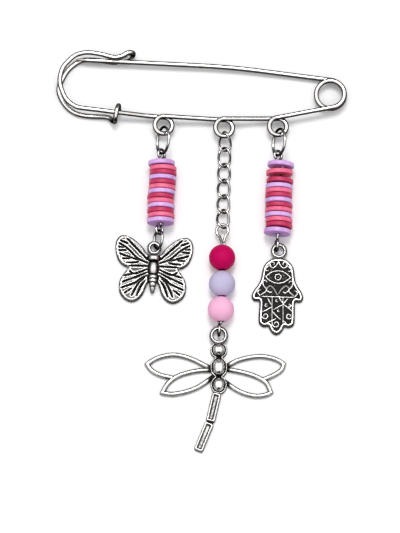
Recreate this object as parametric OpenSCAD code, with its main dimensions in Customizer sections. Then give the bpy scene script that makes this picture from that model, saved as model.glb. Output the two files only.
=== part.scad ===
// Sweater clip: a kilt-pin brooch with three charms, lying on a table.
// Millimetres. X runs along the pin, Y points from the charms up to the pin arm,
// Z points up from the table, and the table is Z = 0.

/* [Pin] */
// Diameter of the pin's wire
pin_wire_d = 1.1; // [1:0.02:1.12]
// Sides of the swept pin wire
pin_sides = 10; // [10:2:14]
// Centre-line radius of the coil spring
coil_r = 3.25; // [3.2:0.05:3.3]
// Drop of the coil per turn
coil_pitch = 1.35; // [1.32:0.01:1.38]
// Centre-line radius of the three hanging loops
loop_r = 2; // [1.95:0.05:2.05]
// Length of the ground point of the arm
point_l = 5; // [4:0.5:7]
// Length of the arm's plain round stretch, where the cloth sits
cloth_l = 14; // [12:1:20]

/* [Jump rings and eye pins] */
// Wire diameter of jump rings and eye pins
small_wire_d = 0.62; // [0.58:0.02:0.64]
// Centre-line radius of an eye pin's loop
eye_r = 1.05; // [1:0.01:1.06]

/* [Disc beads] */
// Diameter of a disc bead
disc_d = 6.2; // [6:0.05:6.25]
// Thickness of a disc bead
disc_t = 0.98; // [0.9:0.02:1.02]
// Bore of a disc bead
disc_bore_d = 2; // [1.8:0.05:2.2]

/* [Round beads] */
// Diameter of a round bead
bead_d = 5.94; // [5.8:0.02:5.98]
// Bore of a round bead
bead_bore_d = 1.6; // [1.4:0.05:1.8]

/* [Chain] */
// Wire diameter of a chain link
link_wire_d = 0.54; // [0.48:0.02:0.56]
// Half length of a link's centre line
link_half_l = 2.2; // [2.18:0.01:2.24]
// Half width of a link's centre line
link_half_w = 1.34; // [1.32:0.01:1.4]
// Height of the twist of a curb link
link_twist = 0.62; // [0.58:0.01:0.66]

/* [Charms] */
// Thickness of a charm's flat body
charm_t = 1.3; // [1.2:0.05:1.4]
// Height of the raised relief above the recessed ground
relief_h = 0.3; // [0.2:0.05:0.4]

/* [Hidden] */
pin_r = pin_wire_d / 2;
small_r = small_wire_d / 2;
disc_r = disc_d / 2;
bead_r = bead_d / 2;
link_r = link_wire_d / 2;
nickel = [0.78, 0.78, 0.77];
antique = [0.6, 0.6, 0.59];
lilac = [0.78, 0.6, 0.92];
crimson = [0.7, 0.1, 0.3];
coral = [0.93, 0.37, 0.52];
magenta = [0.78, 0, 0.34];
lavender = [0.75, 0.68, 0.88];
pink = [0.97, 0.63, 0.79];

// How far the hand's raised lines reach down into its ground.
relief_root = 0.1;
// Lift of the beads off the table.
bead_lift = 0.03;

// Moves everything so that the box is centred over the origin.
centre_shift = [-0.21, -0.14, 0];

// Pin wire, left end: the wire's end wrapped round the base as a collar, the rear
// hairpin, the nose, the front hairpin. Columns: x, y, z of the centre line.
collar_pts = [
    [-18.85, 33.2, 1.55], [-18.85, 34.2, 2.3], [-18.95, 34.1, 3.5], [-19.3, 32.9, 4.2],
    [-19.6, 31.3, 3.75], [-19.8, 30.55, 2.6], [-20.3, 31.1, 1.3]
];
rear_pts = [
    [-21.6, 32.1, 0.65], [-25.4, 32.3, 0.6], [-27.7, 32.65, 0.6], [-29.35, 33.3, 0.6],
    [-30.85, 34.55, 0.6], [-32.05, 36.3, 0.6], [-32.7, 38.2, 0.6], [-32.6, 39.5, 0.6],
    [-31.95, 41, 0.6], [-30.8, 43.05, 0.6], [-29.2, 44.6, 0.6], [-27.6, 45.5, 0.6],
    [-26.1, 45.75, 0.6], [-23.7, 45.65, 0.6], [-21.1, 45.25, 0.6], [-19.7, 45.15, 0.6]
];
nose_pts = [
    [-17.7, 45.75, 0.6], [-16.4, 46.35, 0.75], [-15.7, 46.55, 1.2], [-15.5, 46.7, 1.8],
    [-15.6, 46.85, 2.5], [-16.1, 46.95, 3]
];
front_pts = [
    [-16.9, 46.75, 3.2], [-18.1, 46.05, 3.2], [-19.5, 45.7, 3.2], [-20.8, 45.85, 3.2],
    [-23.1, 46.45, 3.2], [-25.9, 46.85, 3.2], [-27.7, 46.6, 3.2], [-29, 46.1, 3.2],
    [-30.2, 45.1, 3.2], [-31.6, 43.5, 3.2], [-32.3, 41.6, 3.2], [-32.45, 39.8, 3.2],
    [-32, 37.95, 3.2], [-31.1, 35.95, 3.2], [-30.1, 34.9, 3.2], [-28.8, 34.05, 3.2],
    [-27.7, 33.7, 3.2], [-24.05, 33.25, 3.15], [-20.4, 32.8, 3], [-18.8, 32.65, 2.9],
    [-13, 32.1, 2.15]
];

// Hanging loops, from the catch to the coil. Columns: x, y of the centre.
loops = [[-8.55, 29.76], [5.4, 29.15], [17.8, 29.45]];
loop_z_low = 1.75;
loop_z_high = 3;

// Coil spring: centre, height of its first turn, and the angles of its wire.
coil_c = [29.9, 37.1];
coil_z = 3;
coil_start = -79;
coil_split = 273;
arm_start = 280;
arm_leave = 442;
// How much wider the coil gets on the arm's stretch.
arm_coil_out = 0.45;

// Arm: the middle of its gentle bend, the length of the bend to each side, and its tip.
arm_bend = [7, 43.75, 1.55];
arm_bend_reach = 7;
arm_tip = [-28.8, 45.45, 2.05];
// How far the bent wire runs into the straight one, and where the plain stretch starts.
arm_overlap = 0.6;
arm_plain_from = 0.2;
// Shares of the wire's radius at the start, the middle and the end of the ground point.
point_start = 0.96;
point_middle = 0.8;
point_end = 0.3;
// Length of the blunt end of the point.
point_blunt = 0.3;

// Jump rings. Columns: x, y, z of the centre, roll about Y, lean about X, centre-line radius.
ring_left_top_at = [-8.65, 26, 3.1, 64, 0, 3.08];
ring_left_low_at = [-9.75, 2.7, 2.35, 63, -1, 2.08];
ring_right_top_at = [18.05, 25.55, 3.12, 64, 0, 3.08];

// Eye pins: the loops at both ends of the shafts. Columns: x, y, z of the centre, roll about Y,
// centre-line radius, and the free end of a loop that is bent to a teardrop.
pin_left_a = [-8.99, 22.9, 2.5, -45, eye_r];
pin_left_b = [-9.5, 4.88, 2.75, -45, 1];
pin_right_a = [17.85, 22.5, 2.76, -40, eye_r];
pin_right_b = [17.5, 1.5, 1.85, 80, 1.37];
pin_mid_a = [5, 4.79, 2.25, -165, 1.4, [5.6, 2.65, 2.4]];
pin_mid_b = [4.2, -18.5, 1.66, 85, 1.3];

// Height of the eye pins' straight shafts.
shaft_z = 2.9;

// Disc stacks: place of the first disc and lean of the stack from the Y axis.
// Disc columns: colour (0 lilac, 1 crimson, 2 coral), sideways offset, turn, gap before it.
stack_left = [-8.75, 20.45, -1.8];
stack_right = [18.28, 20.1, -1.8];
discs_left = [
    [0, -0.24, 1.3, 0], [2, 0.16, 0, 0.35], [1, 0.19, 0, 0.14], [0, 0.09, -0.4, 0.14],
    [1, 0.12, -0.4, 0.14], [2, 0.07, 0, 0.14], [0, 0, 0, 0.13], [1, -0.19, -0.4, 0.14],
    [2, -0.11, -0.8, 0.14], [0, 0.04, -0.6, 0.13], [1, -0.08, 0, 0.15], [2, 0.07, 0.2, 0.13],
    [0, -0.06, 1.2, 0.19]
];
discs_right = [
    [0, 0.2, -3.2, 0], [2, -0.08, 1.8, 0.7], [1, 0.09, -1.7, 1.24], [0, -0.05, 0, 0.37],
    [2, -0.09, 0.3, 0.16], [1, -0.1, 0.3, 0.14], [0, -0.11, 0, 0.14], [1, 0.05, -0.3, 0.15],
    [2, 0, -0.3, 0.16], [0, -0.05, -0.3, 0.2], [2, 0.13, -0.8, 0.2], [1, 0.2, -1.6, 0.2],
    [0, -0.18, -2.2, 0.38]
];

// Round beads. Columns: x, y of the centre.
bead_at = [[4.95, -1.8], [4.92, -7.95], [4.65, -14.02]];

// Chain: place of the first link, pitch of the links, and for each link from the
// loop to the eye pin its height, slope and roll.
chain_top = [5.58, 25.97];
chain_pitch = 3.67;
chain_drift = -0.09;
links = [
    [2.1, 9, 24], [1.55, 9, 0], [1.12, 4, 0], [0.98, 0, 0], [1.32, -11, 0], [1.95, -8, 0]
];

// Butterfly: place and lean, half outline of its wings, and the grooves of one half.
butterfly_at = [-10.86, -3.9];
butterfly_lean = -2.6;
butterfly_groove_w = 0.32;
butterfly_body_z = 1.05;
butterfly_body_low = 0.3;
// Eye of a charm: y and z of its centre, radius of its centre line, radius of its wire.
butterfly_eye = [4.75, 1.4, 1.33, 0.36];
butterfly_wing = [
    [0, 3], [1.5, 3.4], [2.6, 4.85], [4.4, 6.5], [6, 7.4], [7.5, 7.6], [8.4, 7], [8.9, 5.9],
    [8.95, 4.7], [8.7, 3.2], [8.05, 1.6], [6.95, 0.55], [5.75, 0.1], [6.5, -1.05],
    [7.45, -2.6], [7.75, -4.35], [7.35, -6.15], [6.15, -7.45], [4.6, -7.95], [3.1, -7.25],
    [2.1, -5.9], [1.5, -4.25], [1.1, -3.3], [0, -3]
];
butterfly_grooves = [
    [[6.3, 6.8], [1.5, 2.1]],
    [[7.8, 6.3], [6.1, 5.7]],
    [[8.1, 5.7], [6.05, 4.4], [3.7, 2.25], [1.4, 1.3]],
    [[8.3, 4.8], [7.1, 4.7]],
    [[8.2, 4], [6.4, 4.1]],
    [[8, 3.25], [5.1, 2.35], [3.6, 1.9]],
    [[7.1, 2.05], [5.5, 2.1]],
    [[6.2, 1.1], [4.3, 1.25], [3.4, 1.6]],
    [[5.6, 0.45], [1.4, 0.55]],
    [[5.55, -0.7], [4.3, -1.35], [1.4, -0.25]],
    [[6.7, -1.95], [4.7, -1.45]],
    [[6.95, -3.45], [4.1, -2.2], [1.4, -0.95]],
    [[7.2, -4.85], [4.2, -3.6], [3.1, -2.7], [1.4, -1.65]],
    [[6.3, -6], [4.9, -4.95]],
    [[4.7, -6.5], [3.35, -3.7], [2.5, -2.75], [1.9, -2.3]],
    [[3.6, -6.5], [2.6, -4.1], [1.7, -2.9]]
];
// Body of the butterfly as a turned form. Columns: y along the body, radius.
butterfly_body = [
    [3.3, 0], [3.25, 0.7], [2.9, 1.15], [2.4, 1.25], [1.95, 1.1], [1.65, 0.65], [1.45, 0.7],
    [1, 0.85], [0, 0.95], [-0.9, 0.85], [-1.4, 0.65], [-1.65, 0.9], [-2.2, 0.98],
    [-2.4, 0.72], [-2.6, 0.92], [-3.1, 0.9], [-3.3, 0.65], [-3.5, 0.82], [-4.1, 0.75],
    [-4.3, 0.5], [-4.5, 0.65], [-5.2, 0.5], [-5.8, 0.25], [-5.95, 0]
];

// Hand: place and lean, half outline, and its raised lines.
hand_at = [17.7, -9.07];
hand_lean = -2;
hand_eye = [9.23, 1.38, 1.48, 0.4];
hand_rim_w = 0.42;
hand_line_w = 0.3;
// The almond eye: its outline, the share of it that its hollow takes, and its pupil ring.
almond_mid = [0, 3.1];
almond = [
    [-2.8, 0], [-1.6, 0.95], [0, 1.35], [1.6, 0.95], [2.8, 0], [1.6, -0.95], [0, -1.35], [-1.6, -0.95]
];
almond_hollow = [0.82, 0.72];
pupil_outer_r = 0.85;
pupil_inner_r = 0.55;
// The level line across the palm, and the upright lines below it.
palm_line = [[-3.7, -1.59], [3.7, -1.59]];
finger_lines = [[[-1.35, -1.7], [-1.35, -8.2]], [[1.35, -1.7], [1.35, -8.2]]];
hand_outline = [
    [0, 7.7], [1.6, 7.45], [2.8, 6.55], [3.45, 5.5], [3.75, 4.15], [4, 2.55], [4.6, 1.2],
    [5.5, -0.15], [5.95, -1.4], [5.6, -2.3], [4.9, -2.55], [4.25, -2.5], [4.1, -3.3], [4.15, -5.2],
    [4.15, -7], [3.9, -8], [2.9, -8.6], [1.9, -8.45], [1.5, -9.15], [0.9, -10], [0, -10.4]
];
// Scrolls. Columns: x, y of the centre, radius, start angle, turn.
hand_scrolls = [
    [1.45, 5.6, 0.75, 20, 320], [2.75, 4.6, 0.55, 200, 250], [2.8, 1.55, 0.55, 20, -260],
    [1.9, -0.2, 0.8, 180, -330], [4.3, -0.6, 0.55, 60, 260], [2.95, -3.6, 0.6, 90, 270],
    [2.9, -6.1, 0.75, 180, 300]
];
hand_lines = [
    [[0.1, 7.3], [0.15, 6.4], [0.75, 5.4]],
    [[0.2, -1.2], [0.7, -0.1], [1.2, 0.45]],
    [[3.9, 2.5], [3.3, 1.1], [2.5, 0.1]],
    [[2.6, -0.6], [3.9, -1.6]],
    [[1.4, -4.6], [3.9, -5.6]],
    [[0.5, -1.9], [1.4, -3.2], [2.4, -1.9]],
    [[1.4, -8.1], [0.3, -6.6], [-0.8, -5.6]]
];

// Dragonfly: eye, turned body, wings and tail. A wing is a front and a rear wire that
// meet at its tip. Columns: x, y.
dragonfly_axis_x = 4.18;
dragonfly_eye = [-19.8, 1.55, 1.72, 0.46];
dragonfly_body_z = 0.95;
dragonfly_body = [
    [-21.5, 0], [-21.55, 0.7], [-21.95, 1.25], [-22.6, 1.55], [-23.4, 1.65], [-24.2, 1.5],
    [-24.8, 1.1], [-25.1, 0.9], [-25.4, 1.1], [-26, 1.5], [-27.2, 1.7], [-28.4, 1.5],
    [-29.2, 1], [-29.45, 0.9], [-29.8, 1.1], [-30.5, 1.45], [-31.4, 1.55], [-32.3, 1.3],
    [-32.9, 0.9], [-33.3, 0.5], [-33.35, 0]
];
wing_upper_left = [
    [[3.2, -27.6], [1.2, -26.75], [-1.3, -25.45], [-3.75, -24.55], [-6.25, -24.15],
     [-8.75, -24.5], [-10.9, -25.35], [-12.55, -26.6]],
    [[-12.4, -26.2], [-11.25, -27.75], [-9.25, -28.9], [-6.4, -29.55]]
];
wing_lower_left = [
    [[3.2, -27.75], [0.2, -27.8], [-2.3, -28.2], [-4.5, -28.85], [-6.25, -29.75],
     [-7.75, -31.2], [-8.95, -33.4]],
    [[-9.2, -33], [-6.75, -33.4], [-4.25, -33.05], [-1.8, -32.3], [0.2, -31.25], [3.2, -29.1]]
];
wing_upper_right = [
    [[5.2, -27.3], [6.95, -26.25], [8.7, -25.4], [11.2, -24.75], [13.7, -24.5], [16.2, -24.85],
     [18.2, -25.65], [19.35, -26.6]],
    [[19.05, -26.1], [18.6, -27.6], [16.9, -28.85], [14.3, -30]]
];
wing_lower_right = [
    [[5.2, -27.4], [8.7, -28.05], [11.2, -28.7], [13.45, -29.6], [15.2, -30.9], [16.25, -33.3]],
    [[16.4, -32.7], [15.2, -33.5], [12.95, -33.85], [10.7, -33.45], [8.2, -32.35], [5.2, -30.2]]
];
// How far the flat foot of the body stands out from it.
dragonfly_skirt = 0.3;
wing_wire_w = 1.1;
// Share of a wing wire's width that its upper layer takes.
wing_crown_w = 0.62;
// Heights of a wing wire's lower layer, the start of its upper layer and its top.
wing_high = 0.75;
wing_low = 0.4;
wing_top = 1.1;
tail_upper = [[3.75, -33.2], [2.25, -39.75]];
tail_lower = [[2, -40.35], [-0.6, -46.8]];
tail_w = 2.15;
// Joint between the tail's segments: how far it reaches into each, and its share of the width.
tail_joint_in = [0.1, 0.5];
tail_joint_w = 0.8;
// Rim of a tail segment: how far in it starts, and the end and share of width of its channel.
tail_rim_in = 0.1;
tail_channel_in = 0.6;
tail_channel_w = 0.4;

// A point of a spline through four points.
function spline_point(a, b, c, d, t) =
    0.5 * (2 * b + (c - a) * t + (2 * a - 5 * b + 4 * c - d) * t * t + (3 * b - a - 3 * c + d) * t * t * t);

// An open spline through the points, with the given steps between each two.
function spline(p, steps) = [
    for (i = [0:len(p) - 2])
        for (s = [0:steps - 1])
            spline_point(p[max(i - 1, 0)], p[i], p[i + 1], p[min(i + 2, len(p) - 1)], s / steps),
    p[len(p) - 1]
];

function unit(v) = v / norm(v);
function across(v, t) = unit(v - (v * t) * t);
function tangent(p, i) = unit(p[min(i + 1, len(p) - 1)] - p[max(i - 1, 0)]);
function loop_tangent(p, i) = unit(p[(i + 1) % len(p)] - p[(i + len(p) - 1) % len(p)]);

// A ring of points round p, in the plane across t, starting at n.
function wire_ring(p, t, n, r, sides) = [
    for (k = [0:sides - 1]) p + r * (cos(360 * k / sides) * n + sin(360 * k / sides) * cross(t, n))
];

// Side faces between rings i and j of a swept wire, each four-sided face as two triangles.
function ring_faces(i, j, sides) = [
    for (k = [0:sides - 1])
        let (n = (k + 1) % sides, a = i * sides, b = j * sides)
            each [[a + k, b + k, b + n], [a + k, b + n, a + n]]
];

// A round wire along an open path.
module open_wire(path, r, sides) {
    last = len(path) - 1;
    normals = [
        for (i = 0, n = across([0.13, 0.21, 1], tangent(path, 0)); i <= last;
             i = i + 1, n = i <= last ? across(n, tangent(path, i)) : n) n
    ];
    points = [for (i = [0:last]) each wire_ring(path[i], tangent(path, i), normals[i], r, sides)];
    faces = [
        [for (k = [0:sides - 1]) k],
        for (i = [0:last - 1]) each ring_faces(i, i + 1, sides),
        [for (k = [sides - 1:-1:0]) last * sides + k]
    ];
    polyhedron(points, faces, convexity = 10);
}

// A round wire along a closed path round the point c.
module closed_wire(path, c, r, sides) {
    count = len(path);
    points = [
        for (i = [0:count - 1])
            let (t = loop_tangent(path, i))
                each wire_ring(path[i], t, across(path[i] - c, t), r, sides)
    ];
    faces = [for (i = [0:count - 1]) each ring_faces(i, (i + 1) % count, sides)];
    polyhedron(points, faces, convexity = 10);
}

// Points of a level arc whose height falls evenly.
function level_arc(c, r, a0, a1, z0, z1, steps) = [
    for (s = [0:steps])
        let (t = s / steps, a = a0 + (a1 - a0) * t)
            [c[0] + r * cos(a), c[1] + r * sin(a), z0 + (z1 - z0) * t]
];

// A hanging loop, from the low left wire to the high right wire.
function hanging_loop(c) = level_arc(c, loop_r, 450, 90, loop_z_low, loop_z_high, 18);

function coil_height(a) = coil_z - coil_pitch * (a - coil_start) / 360;

// A flat band of the given width along a path.
function side_of(p, i) = [-tangent(p, i)[1], tangent(p, i)[0]];
function band(p, w) = concat(
    [for (i = [0:len(p) - 1]) p[i] + side_of(p, i) * w / 2],
    [for (i = [len(p) - 1:-1:0]) p[i] - side_of(p, i) * w / 2]
);

// An outline and its mirror image about Y, joined.
function mirrored(p) = concat(p, [for (i = [len(p) - 2:-1:1]) [-p[i][0], p[i][1]]]);

// A closed outline moved inwards by d. The outline runs clockwise.
function inset(p, d) = [
    for (i = [0:len(p) - 1])
        let (t = loop_tangent(p, i)) p[i] + [t[1], -t[0]] * d
];

module jump_ring(at) {
    color(nickel)
    translate([at[0], at[1], at[2]])
    rotate([at[4], 0, 0])
    rotate([0, -at[3], 0])
    rotate_extrude($fn = 48)
    translate([at[5], 0])
    circle(r = small_r, $fn = 16);
}

// An eye pin's loop that opens towards the shaft. Its row is as in the eye pins' table,
// and dir is 1 at the upper end and -1 at the lower end.
function eye_loop(row, dir) = concat(
    len(row) > 5 ? [row[5]] : [],
    [
        for (s = [0:12])
            let (a = 235 - 295 * s / 12, roll = row[3], r = row[4])
                [row[0], row[1], row[2]]
                + [r * cos(a) * cos(roll), dir * r * sin(a), r * cos(a) * sin(roll)]
    ]
);

function reversed(p) = [for (i = [len(p) - 1:-1:0]) p[i]];

// A double eye pin: its straight shaft runs between the two points of shaft.
module eye_pin(a, b, shaft) {
    top = shaft[0];
    low = shaft[1];
    path = concat(
        eye_loop(a, 1),
        [[top[0], top[1], shaft_z], [low[0], low[1], shaft_z]],
        reversed(eye_loop(b, -1))
    );
    color(nickel) open_wire(path, small_r, 6);
}

// How far a disc lies along its stack.
function disc_run(rows, i) = i == 0 ? 0 : disc_run(rows, i - 1) + disc_t + rows[i][3];

// Centre of a disc of a stack, without its own offset.
function disc_place(stack, rows, i) =
    let (run = disc_run(rows, i)) [stack[0] + run * sin(stack[2]), stack[1] - run * cos(stack[2])];

module disc(stack, rows, i) {
    row = rows[i];
    at = disc_place(stack, rows, i);
    colours = [lilac, crimson, coral];
    color(colours[row[0]])
    translate([at[0] + row[1], at[1], disc_r + bead_lift])
    rotate([90, 0, row[2] + stack[2]])
    difference() {
        cylinder(r = disc_r, h = disc_t, center = true, $fn = 64);
        cylinder(r = disc_bore_d / 2, h = disc_t + 1, center = true, $fn = 48);
    }
}

module bead(at, colour) {
    color(colour)
    translate([at[0], at[1], bead_r + bead_lift])
    rotate([90, 0, 0])
    difference() {
        sphere(r = bead_r, $fn = 64);
        cylinder(r = bead_bore_d / 2, h = bead_d + 1, center = true, $fn = 48);
    }
}

// A curb link: an oval whose two ends are twisted opposite ways.
module chain_link(i) {
    row = links[i];
    path = [
        for (s = [0:19])
            let (a = 18 * s)
                [link_half_w * cos(a), link_half_l * sin(a), link_twist * sin(2 * a)]
    ];
    color(nickel)
    translate([chain_top[0] + chain_drift * i, chain_top[1] - chain_pitch * i, row[0]])
    rotate([row[1], -row[2], 0])
    closed_wire(path, [0, 0, 0], link_r, 6);
}

// A turned form lying along Y, cut flat at the height low.
module turned_body(rows, axis_z, low) {
    intersection() {
        translate([0, 0, axis_z])
        rotate([90, 0, 0])
        rotate_extrude($fn = 48)
        polygon([for (row = rows) [row[1], -row[0]]]);
        translate([-10, -60, low])
        cube([20, 120, 10]);
    }
}

// An eye of a cast charm: a plain ring that lies level.
module charm_eye(x, eye) {
    translate([x, eye[0], eye[1]])
    rotate_extrude($fn = 48)
    translate([eye[2], 0])
    circle(r = eye[3], $fn = 20);
}

module butterfly_half() {
    difference() {
        linear_extrude(height = charm_t)
        polygon(spline(butterfly_wing, 2));
        for (g = butterfly_grooves)
            translate([0, 0, charm_t - relief_h])
            linear_extrude(height = 1)
            polygon(band(g, butterfly_groove_w));
    }
}

module charm_butterfly() {
    color(antique)
    translate([butterfly_at[0], butterfly_at[1], 0])
    rotate([0, 0, butterfly_lean]) {
        butterfly_half();
        mirror([1, 0, 0]) butterfly_half();
        turned_body(butterfly_body, butterfly_body_z, butterfly_body_low);
        charm_eye(0, butterfly_eye);
    }
}

module scroll(s, w) {
    path = [
        for (k = [0:10])
            let (a = s[3] + s[4] * k / 10, r = s[2] * (1 - 0.06 * k))
                [s[0] + r * cos(a), s[1] + r * sin(a)]
    ];
    polygon(band(path, w));
}

module hand_relief_half() {
    for (s = hand_scrolls)
        scroll(s, hand_line_w);
    for (l = hand_lines)
        polygon(band(spline(l, 3), hand_line_w));
}

module charm_hand() {
    outline = mirrored(spline(hand_outline, 2));
    color(antique)
    translate([hand_at[0], hand_at[1], 0])
    rotate([0, 0, hand_lean]) {
        linear_extrude(height = charm_t - relief_h)
        polygon(outline);
        linear_extrude(height = charm_t)
        difference() {
            polygon(outline);
            polygon(inset(outline, hand_rim_w));
        }
        translate([0, 0, charm_t - relief_h - relief_root])
        linear_extrude(height = relief_h + relief_root) {
            translate(almond_mid) {
                difference() {
                    polygon(almond);
                    scale(almond_hollow) polygon(almond);
                }
                difference() {
                    circle(r = pupil_outer_r, $fn = 32);
                    circle(r = pupil_inner_r, $fn = 32);
                }
            }
            polygon(band(palm_line, hand_line_w));
            for (l = finger_lines)
                polygon(band(l, hand_line_w));
            hand_relief_half();
            mirror([1, 0, 0]) hand_relief_half();
        }
        charm_eye(0, hand_eye);
    }
}

// Wires of all four wings of the dragonfly, laid flat.
module wing_wires(w) {
    for (wing = [wing_upper_left, wing_lower_left, wing_upper_right, wing_lower_right])
        for (rows = wing)
            polygon(band(spline(rows, 2), w));
}

// Everything of the dragonfly that reaches the table, laid flat.
module dragonfly_flat() {
    wing_wires(wing_wire_w);
    translate([dragonfly_axis_x, 0])
    polygon(concat(
        [for (row = dragonfly_body) [row[1] + dragonfly_skirt, row[0]]],
        [for (row = reversed(dragonfly_body)) [-row[1] - dragonfly_skirt, row[0]]]
    ));
    polygon(band(tail_upper, tail_w));
    polygon(band(tail_lower, tail_w));
    polygon(band([tail_upper[1] + tail_joint_in, tail_lower[0] - tail_joint_in], tail_w * tail_joint_w));
}

// A straight line shortened by d at both ends.
function shortened(ends, d) =
    let (along = unit(ends[1] - ends[0])) [ends[0] + along * d, ends[1] - along * d];

// The raised rim of a tail segment, round its channel.
module tail_rim(ends) {
    linear_extrude(height = charm_t - wing_low)
    difference() {
        polygon(band(shortened(ends, tail_rim_in), tail_w - 2 * tail_rim_in));
        polygon(band(shortened(ends, tail_channel_in), tail_w * tail_channel_w));
    }
}

module charm_dragonfly() {
    color(antique) {
        linear_extrude(height = wing_high)
        dragonfly_flat();
        translate([0, 0, wing_low]) {
            linear_extrude(height = wing_top - wing_low)
            wing_wires(wing_wire_w * wing_crown_w);
            tail_rim(tail_upper);
            tail_rim(tail_lower);
        }
        translate([dragonfly_axis_x, 0, 0])
        turned_body(dragonfly_body, dragonfly_body_z, wing_low);
        charm_eye(dragonfly_axis_x, dragonfly_eye);
    }
}

module pin_frame() {
    hairpin = spline(concat(collar_pts, rear_pts, nose_pts, front_pts), 2);
    path = concat(
        hairpin,
        hanging_loop(loops[0]),
        hanging_loop(loops[1]),
        hanging_loop(loops[2]),
        level_arc(coil_c, coil_r, coil_start, coil_split, coil_z, coil_height(coil_split), 28)
    );
    color(nickel) open_wire(path, pin_r, pin_sides);
}

module pin_arm() {
    coil = [
        for (s = [0:14])
            let (t = s / 14, a = arm_start + (arm_leave - arm_start) * t, r = coil_r + arm_coil_out * t * t * t)
                [coil_c[0] + r * cos(a), coil_c[1] + r * sin(a), coil_height(a)]
    ];
    leave = coil[len(coil) - 1];
    bend_in = arm_bend + unit(leave - arm_bend) * arm_bend_reach;
    aim = unit(arm_tip - arm_bend);
    bend_out = arm_bend + aim * arm_bend_reach;
    reach = norm(arm_tip - bend_out);
    path = concat(
        coil,
        [for (t = [0:0.2:1]) (1 - t) * (1 - t) * bend_in + 2 * t * (1 - t) * arm_bend + t * t * bend_out],
        [bend_out + aim * arm_overlap]
    );
    color(nickel) {
        open_wire(path, pin_r - 0.01, pin_sides);
        translate(bend_out)
        rotate([0, acos(aim[2]), atan2(aim[1], aim[0])])
        rotate_extrude($fn = 48)
        polygon([
            [0, arm_plain_from], [pin_r, arm_plain_from], [pin_r, arm_plain_from + cloth_l],
            [pin_r * point_start, reach - point_l], [pin_r * point_middle, reach - point_l / 2],
            [pin_r * point_end, reach - point_blunt], [0, reach]
        ]);
    }
}

// The shafts come out of their beads this far.
shaft_out = 0.1;
bead_out = [0, bead_r + shaft_out];
bead_shaft = [bead_at[0] + bead_out, bead_at[2] - bead_out];

// Ends of the shaft in a stack of discs.
function stack_shaft(stack, rows) =
    let (out = [0, disc_t / 2 + shaft_out])
        [disc_place(stack, rows, 0) + out, disc_place(stack, rows, len(rows) - 1) - out];

translate(centre_shift) {
    pin_frame();
    pin_arm();
    jump_ring(ring_left_top_at);  // ring_left_top
    jump_ring(ring_left_low_at);  // ring_left_low
    jump_ring(ring_right_top_at);  // ring_right_top
    eye_pin(pin_left_a, pin_left_b, stack_shaft(stack_left, discs_left));  // eyepin_left
    eye_pin(pin_mid_a, pin_mid_b, bead_shaft);  // eyepin_mid
    eye_pin(pin_right_a, pin_right_b, stack_shaft(stack_right, discs_right));  // eyepin_right
    disc(stack_left, discs_left, 0);  // disc_l1
    disc(stack_left, discs_left, 1);  // disc_l2
    disc(stack_left, discs_left, 2);  // disc_l3
    disc(stack_left, discs_left, 3);  // disc_l4
    disc(stack_left, discs_left, 4);  // disc_l5
    disc(stack_left, discs_left, 5);  // disc_l6
    disc(stack_left, discs_left, 6);  // disc_l7
    disc(stack_left, discs_left, 7);  // disc_l8
    disc(stack_left, discs_left, 8);  // disc_l9
    disc(stack_left, discs_left, 9);  // disc_l10
    disc(stack_left, discs_left, 10);  // disc_l11
    disc(stack_left, discs_left, 11);  // disc_l12
    disc(stack_left, discs_left, 12);  // disc_l13
    disc(stack_right, discs_right, 0);  // disc_r1
    disc(stack_right, discs_right, 1);  // disc_r2
    disc(stack_right, discs_right, 2);  // disc_r3
    disc(stack_right, discs_right, 3);  // disc_r4
    disc(stack_right, discs_right, 4);  // disc_r5
    disc(stack_right, discs_right, 5);  // disc_r6
    disc(stack_right, discs_right, 6);  // disc_r7
    disc(stack_right, discs_right, 7);  // disc_r8
    disc(stack_right, discs_right, 8);  // disc_r9
    disc(stack_right, discs_right, 9);  // disc_r10
    disc(stack_right, discs_right, 10);  // disc_r11
    disc(stack_right, discs_right, 11);  // disc_r12
    disc(stack_right, discs_right, 12);  // disc_r13
    bead(bead_at[0], magenta);  // bead_top
    bead(bead_at[1], lavender);  // bead_mid
    bead(bead_at[2], pink);  // bead_low
    chain_link(0);  // link_1
    chain_link(1);  // link_2
    chain_link(2);  // link_3
    chain_link(3);  // link_4
    chain_link(4);  // link_5
    chain_link(5);  // link_6
    charm_butterfly();
    charm_dragonfly();
    charm_hand();
}
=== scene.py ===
"""Sweater clip with three charms: the looks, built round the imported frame.

Sizes and places are millimetres in the part's own tables, as in its source. They
become metres, and are centred over the origin, when a mesh is made.
"""

from __future__ import annotations

import logging
import math
from dataclasses import dataclass, field
from enum import Enum
from typing import Callable, Sequence

import bpy
import numpy as np
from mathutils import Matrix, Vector, geometry

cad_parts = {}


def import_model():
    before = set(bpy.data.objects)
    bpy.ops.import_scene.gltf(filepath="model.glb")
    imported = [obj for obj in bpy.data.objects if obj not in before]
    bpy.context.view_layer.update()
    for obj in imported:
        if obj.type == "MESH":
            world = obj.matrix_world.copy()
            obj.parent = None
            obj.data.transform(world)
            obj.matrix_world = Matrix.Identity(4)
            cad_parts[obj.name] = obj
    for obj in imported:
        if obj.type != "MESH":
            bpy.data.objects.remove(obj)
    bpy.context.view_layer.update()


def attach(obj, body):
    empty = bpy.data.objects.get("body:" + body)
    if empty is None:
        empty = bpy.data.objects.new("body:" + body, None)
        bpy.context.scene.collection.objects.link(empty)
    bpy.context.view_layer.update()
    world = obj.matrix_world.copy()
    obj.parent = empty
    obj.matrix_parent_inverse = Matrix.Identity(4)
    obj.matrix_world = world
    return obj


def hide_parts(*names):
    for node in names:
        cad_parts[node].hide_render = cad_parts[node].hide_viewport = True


LOG = logging.getLogger("sweater_clip")

MM = 0.001
# Moves the tables' places so that the part's box is centred over the origin.
CENTRE_SHIFT = np.array([-0.21, -0.14, 0.0])
# Flat points nearer than this are one point.
WELD = 1e-7
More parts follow.
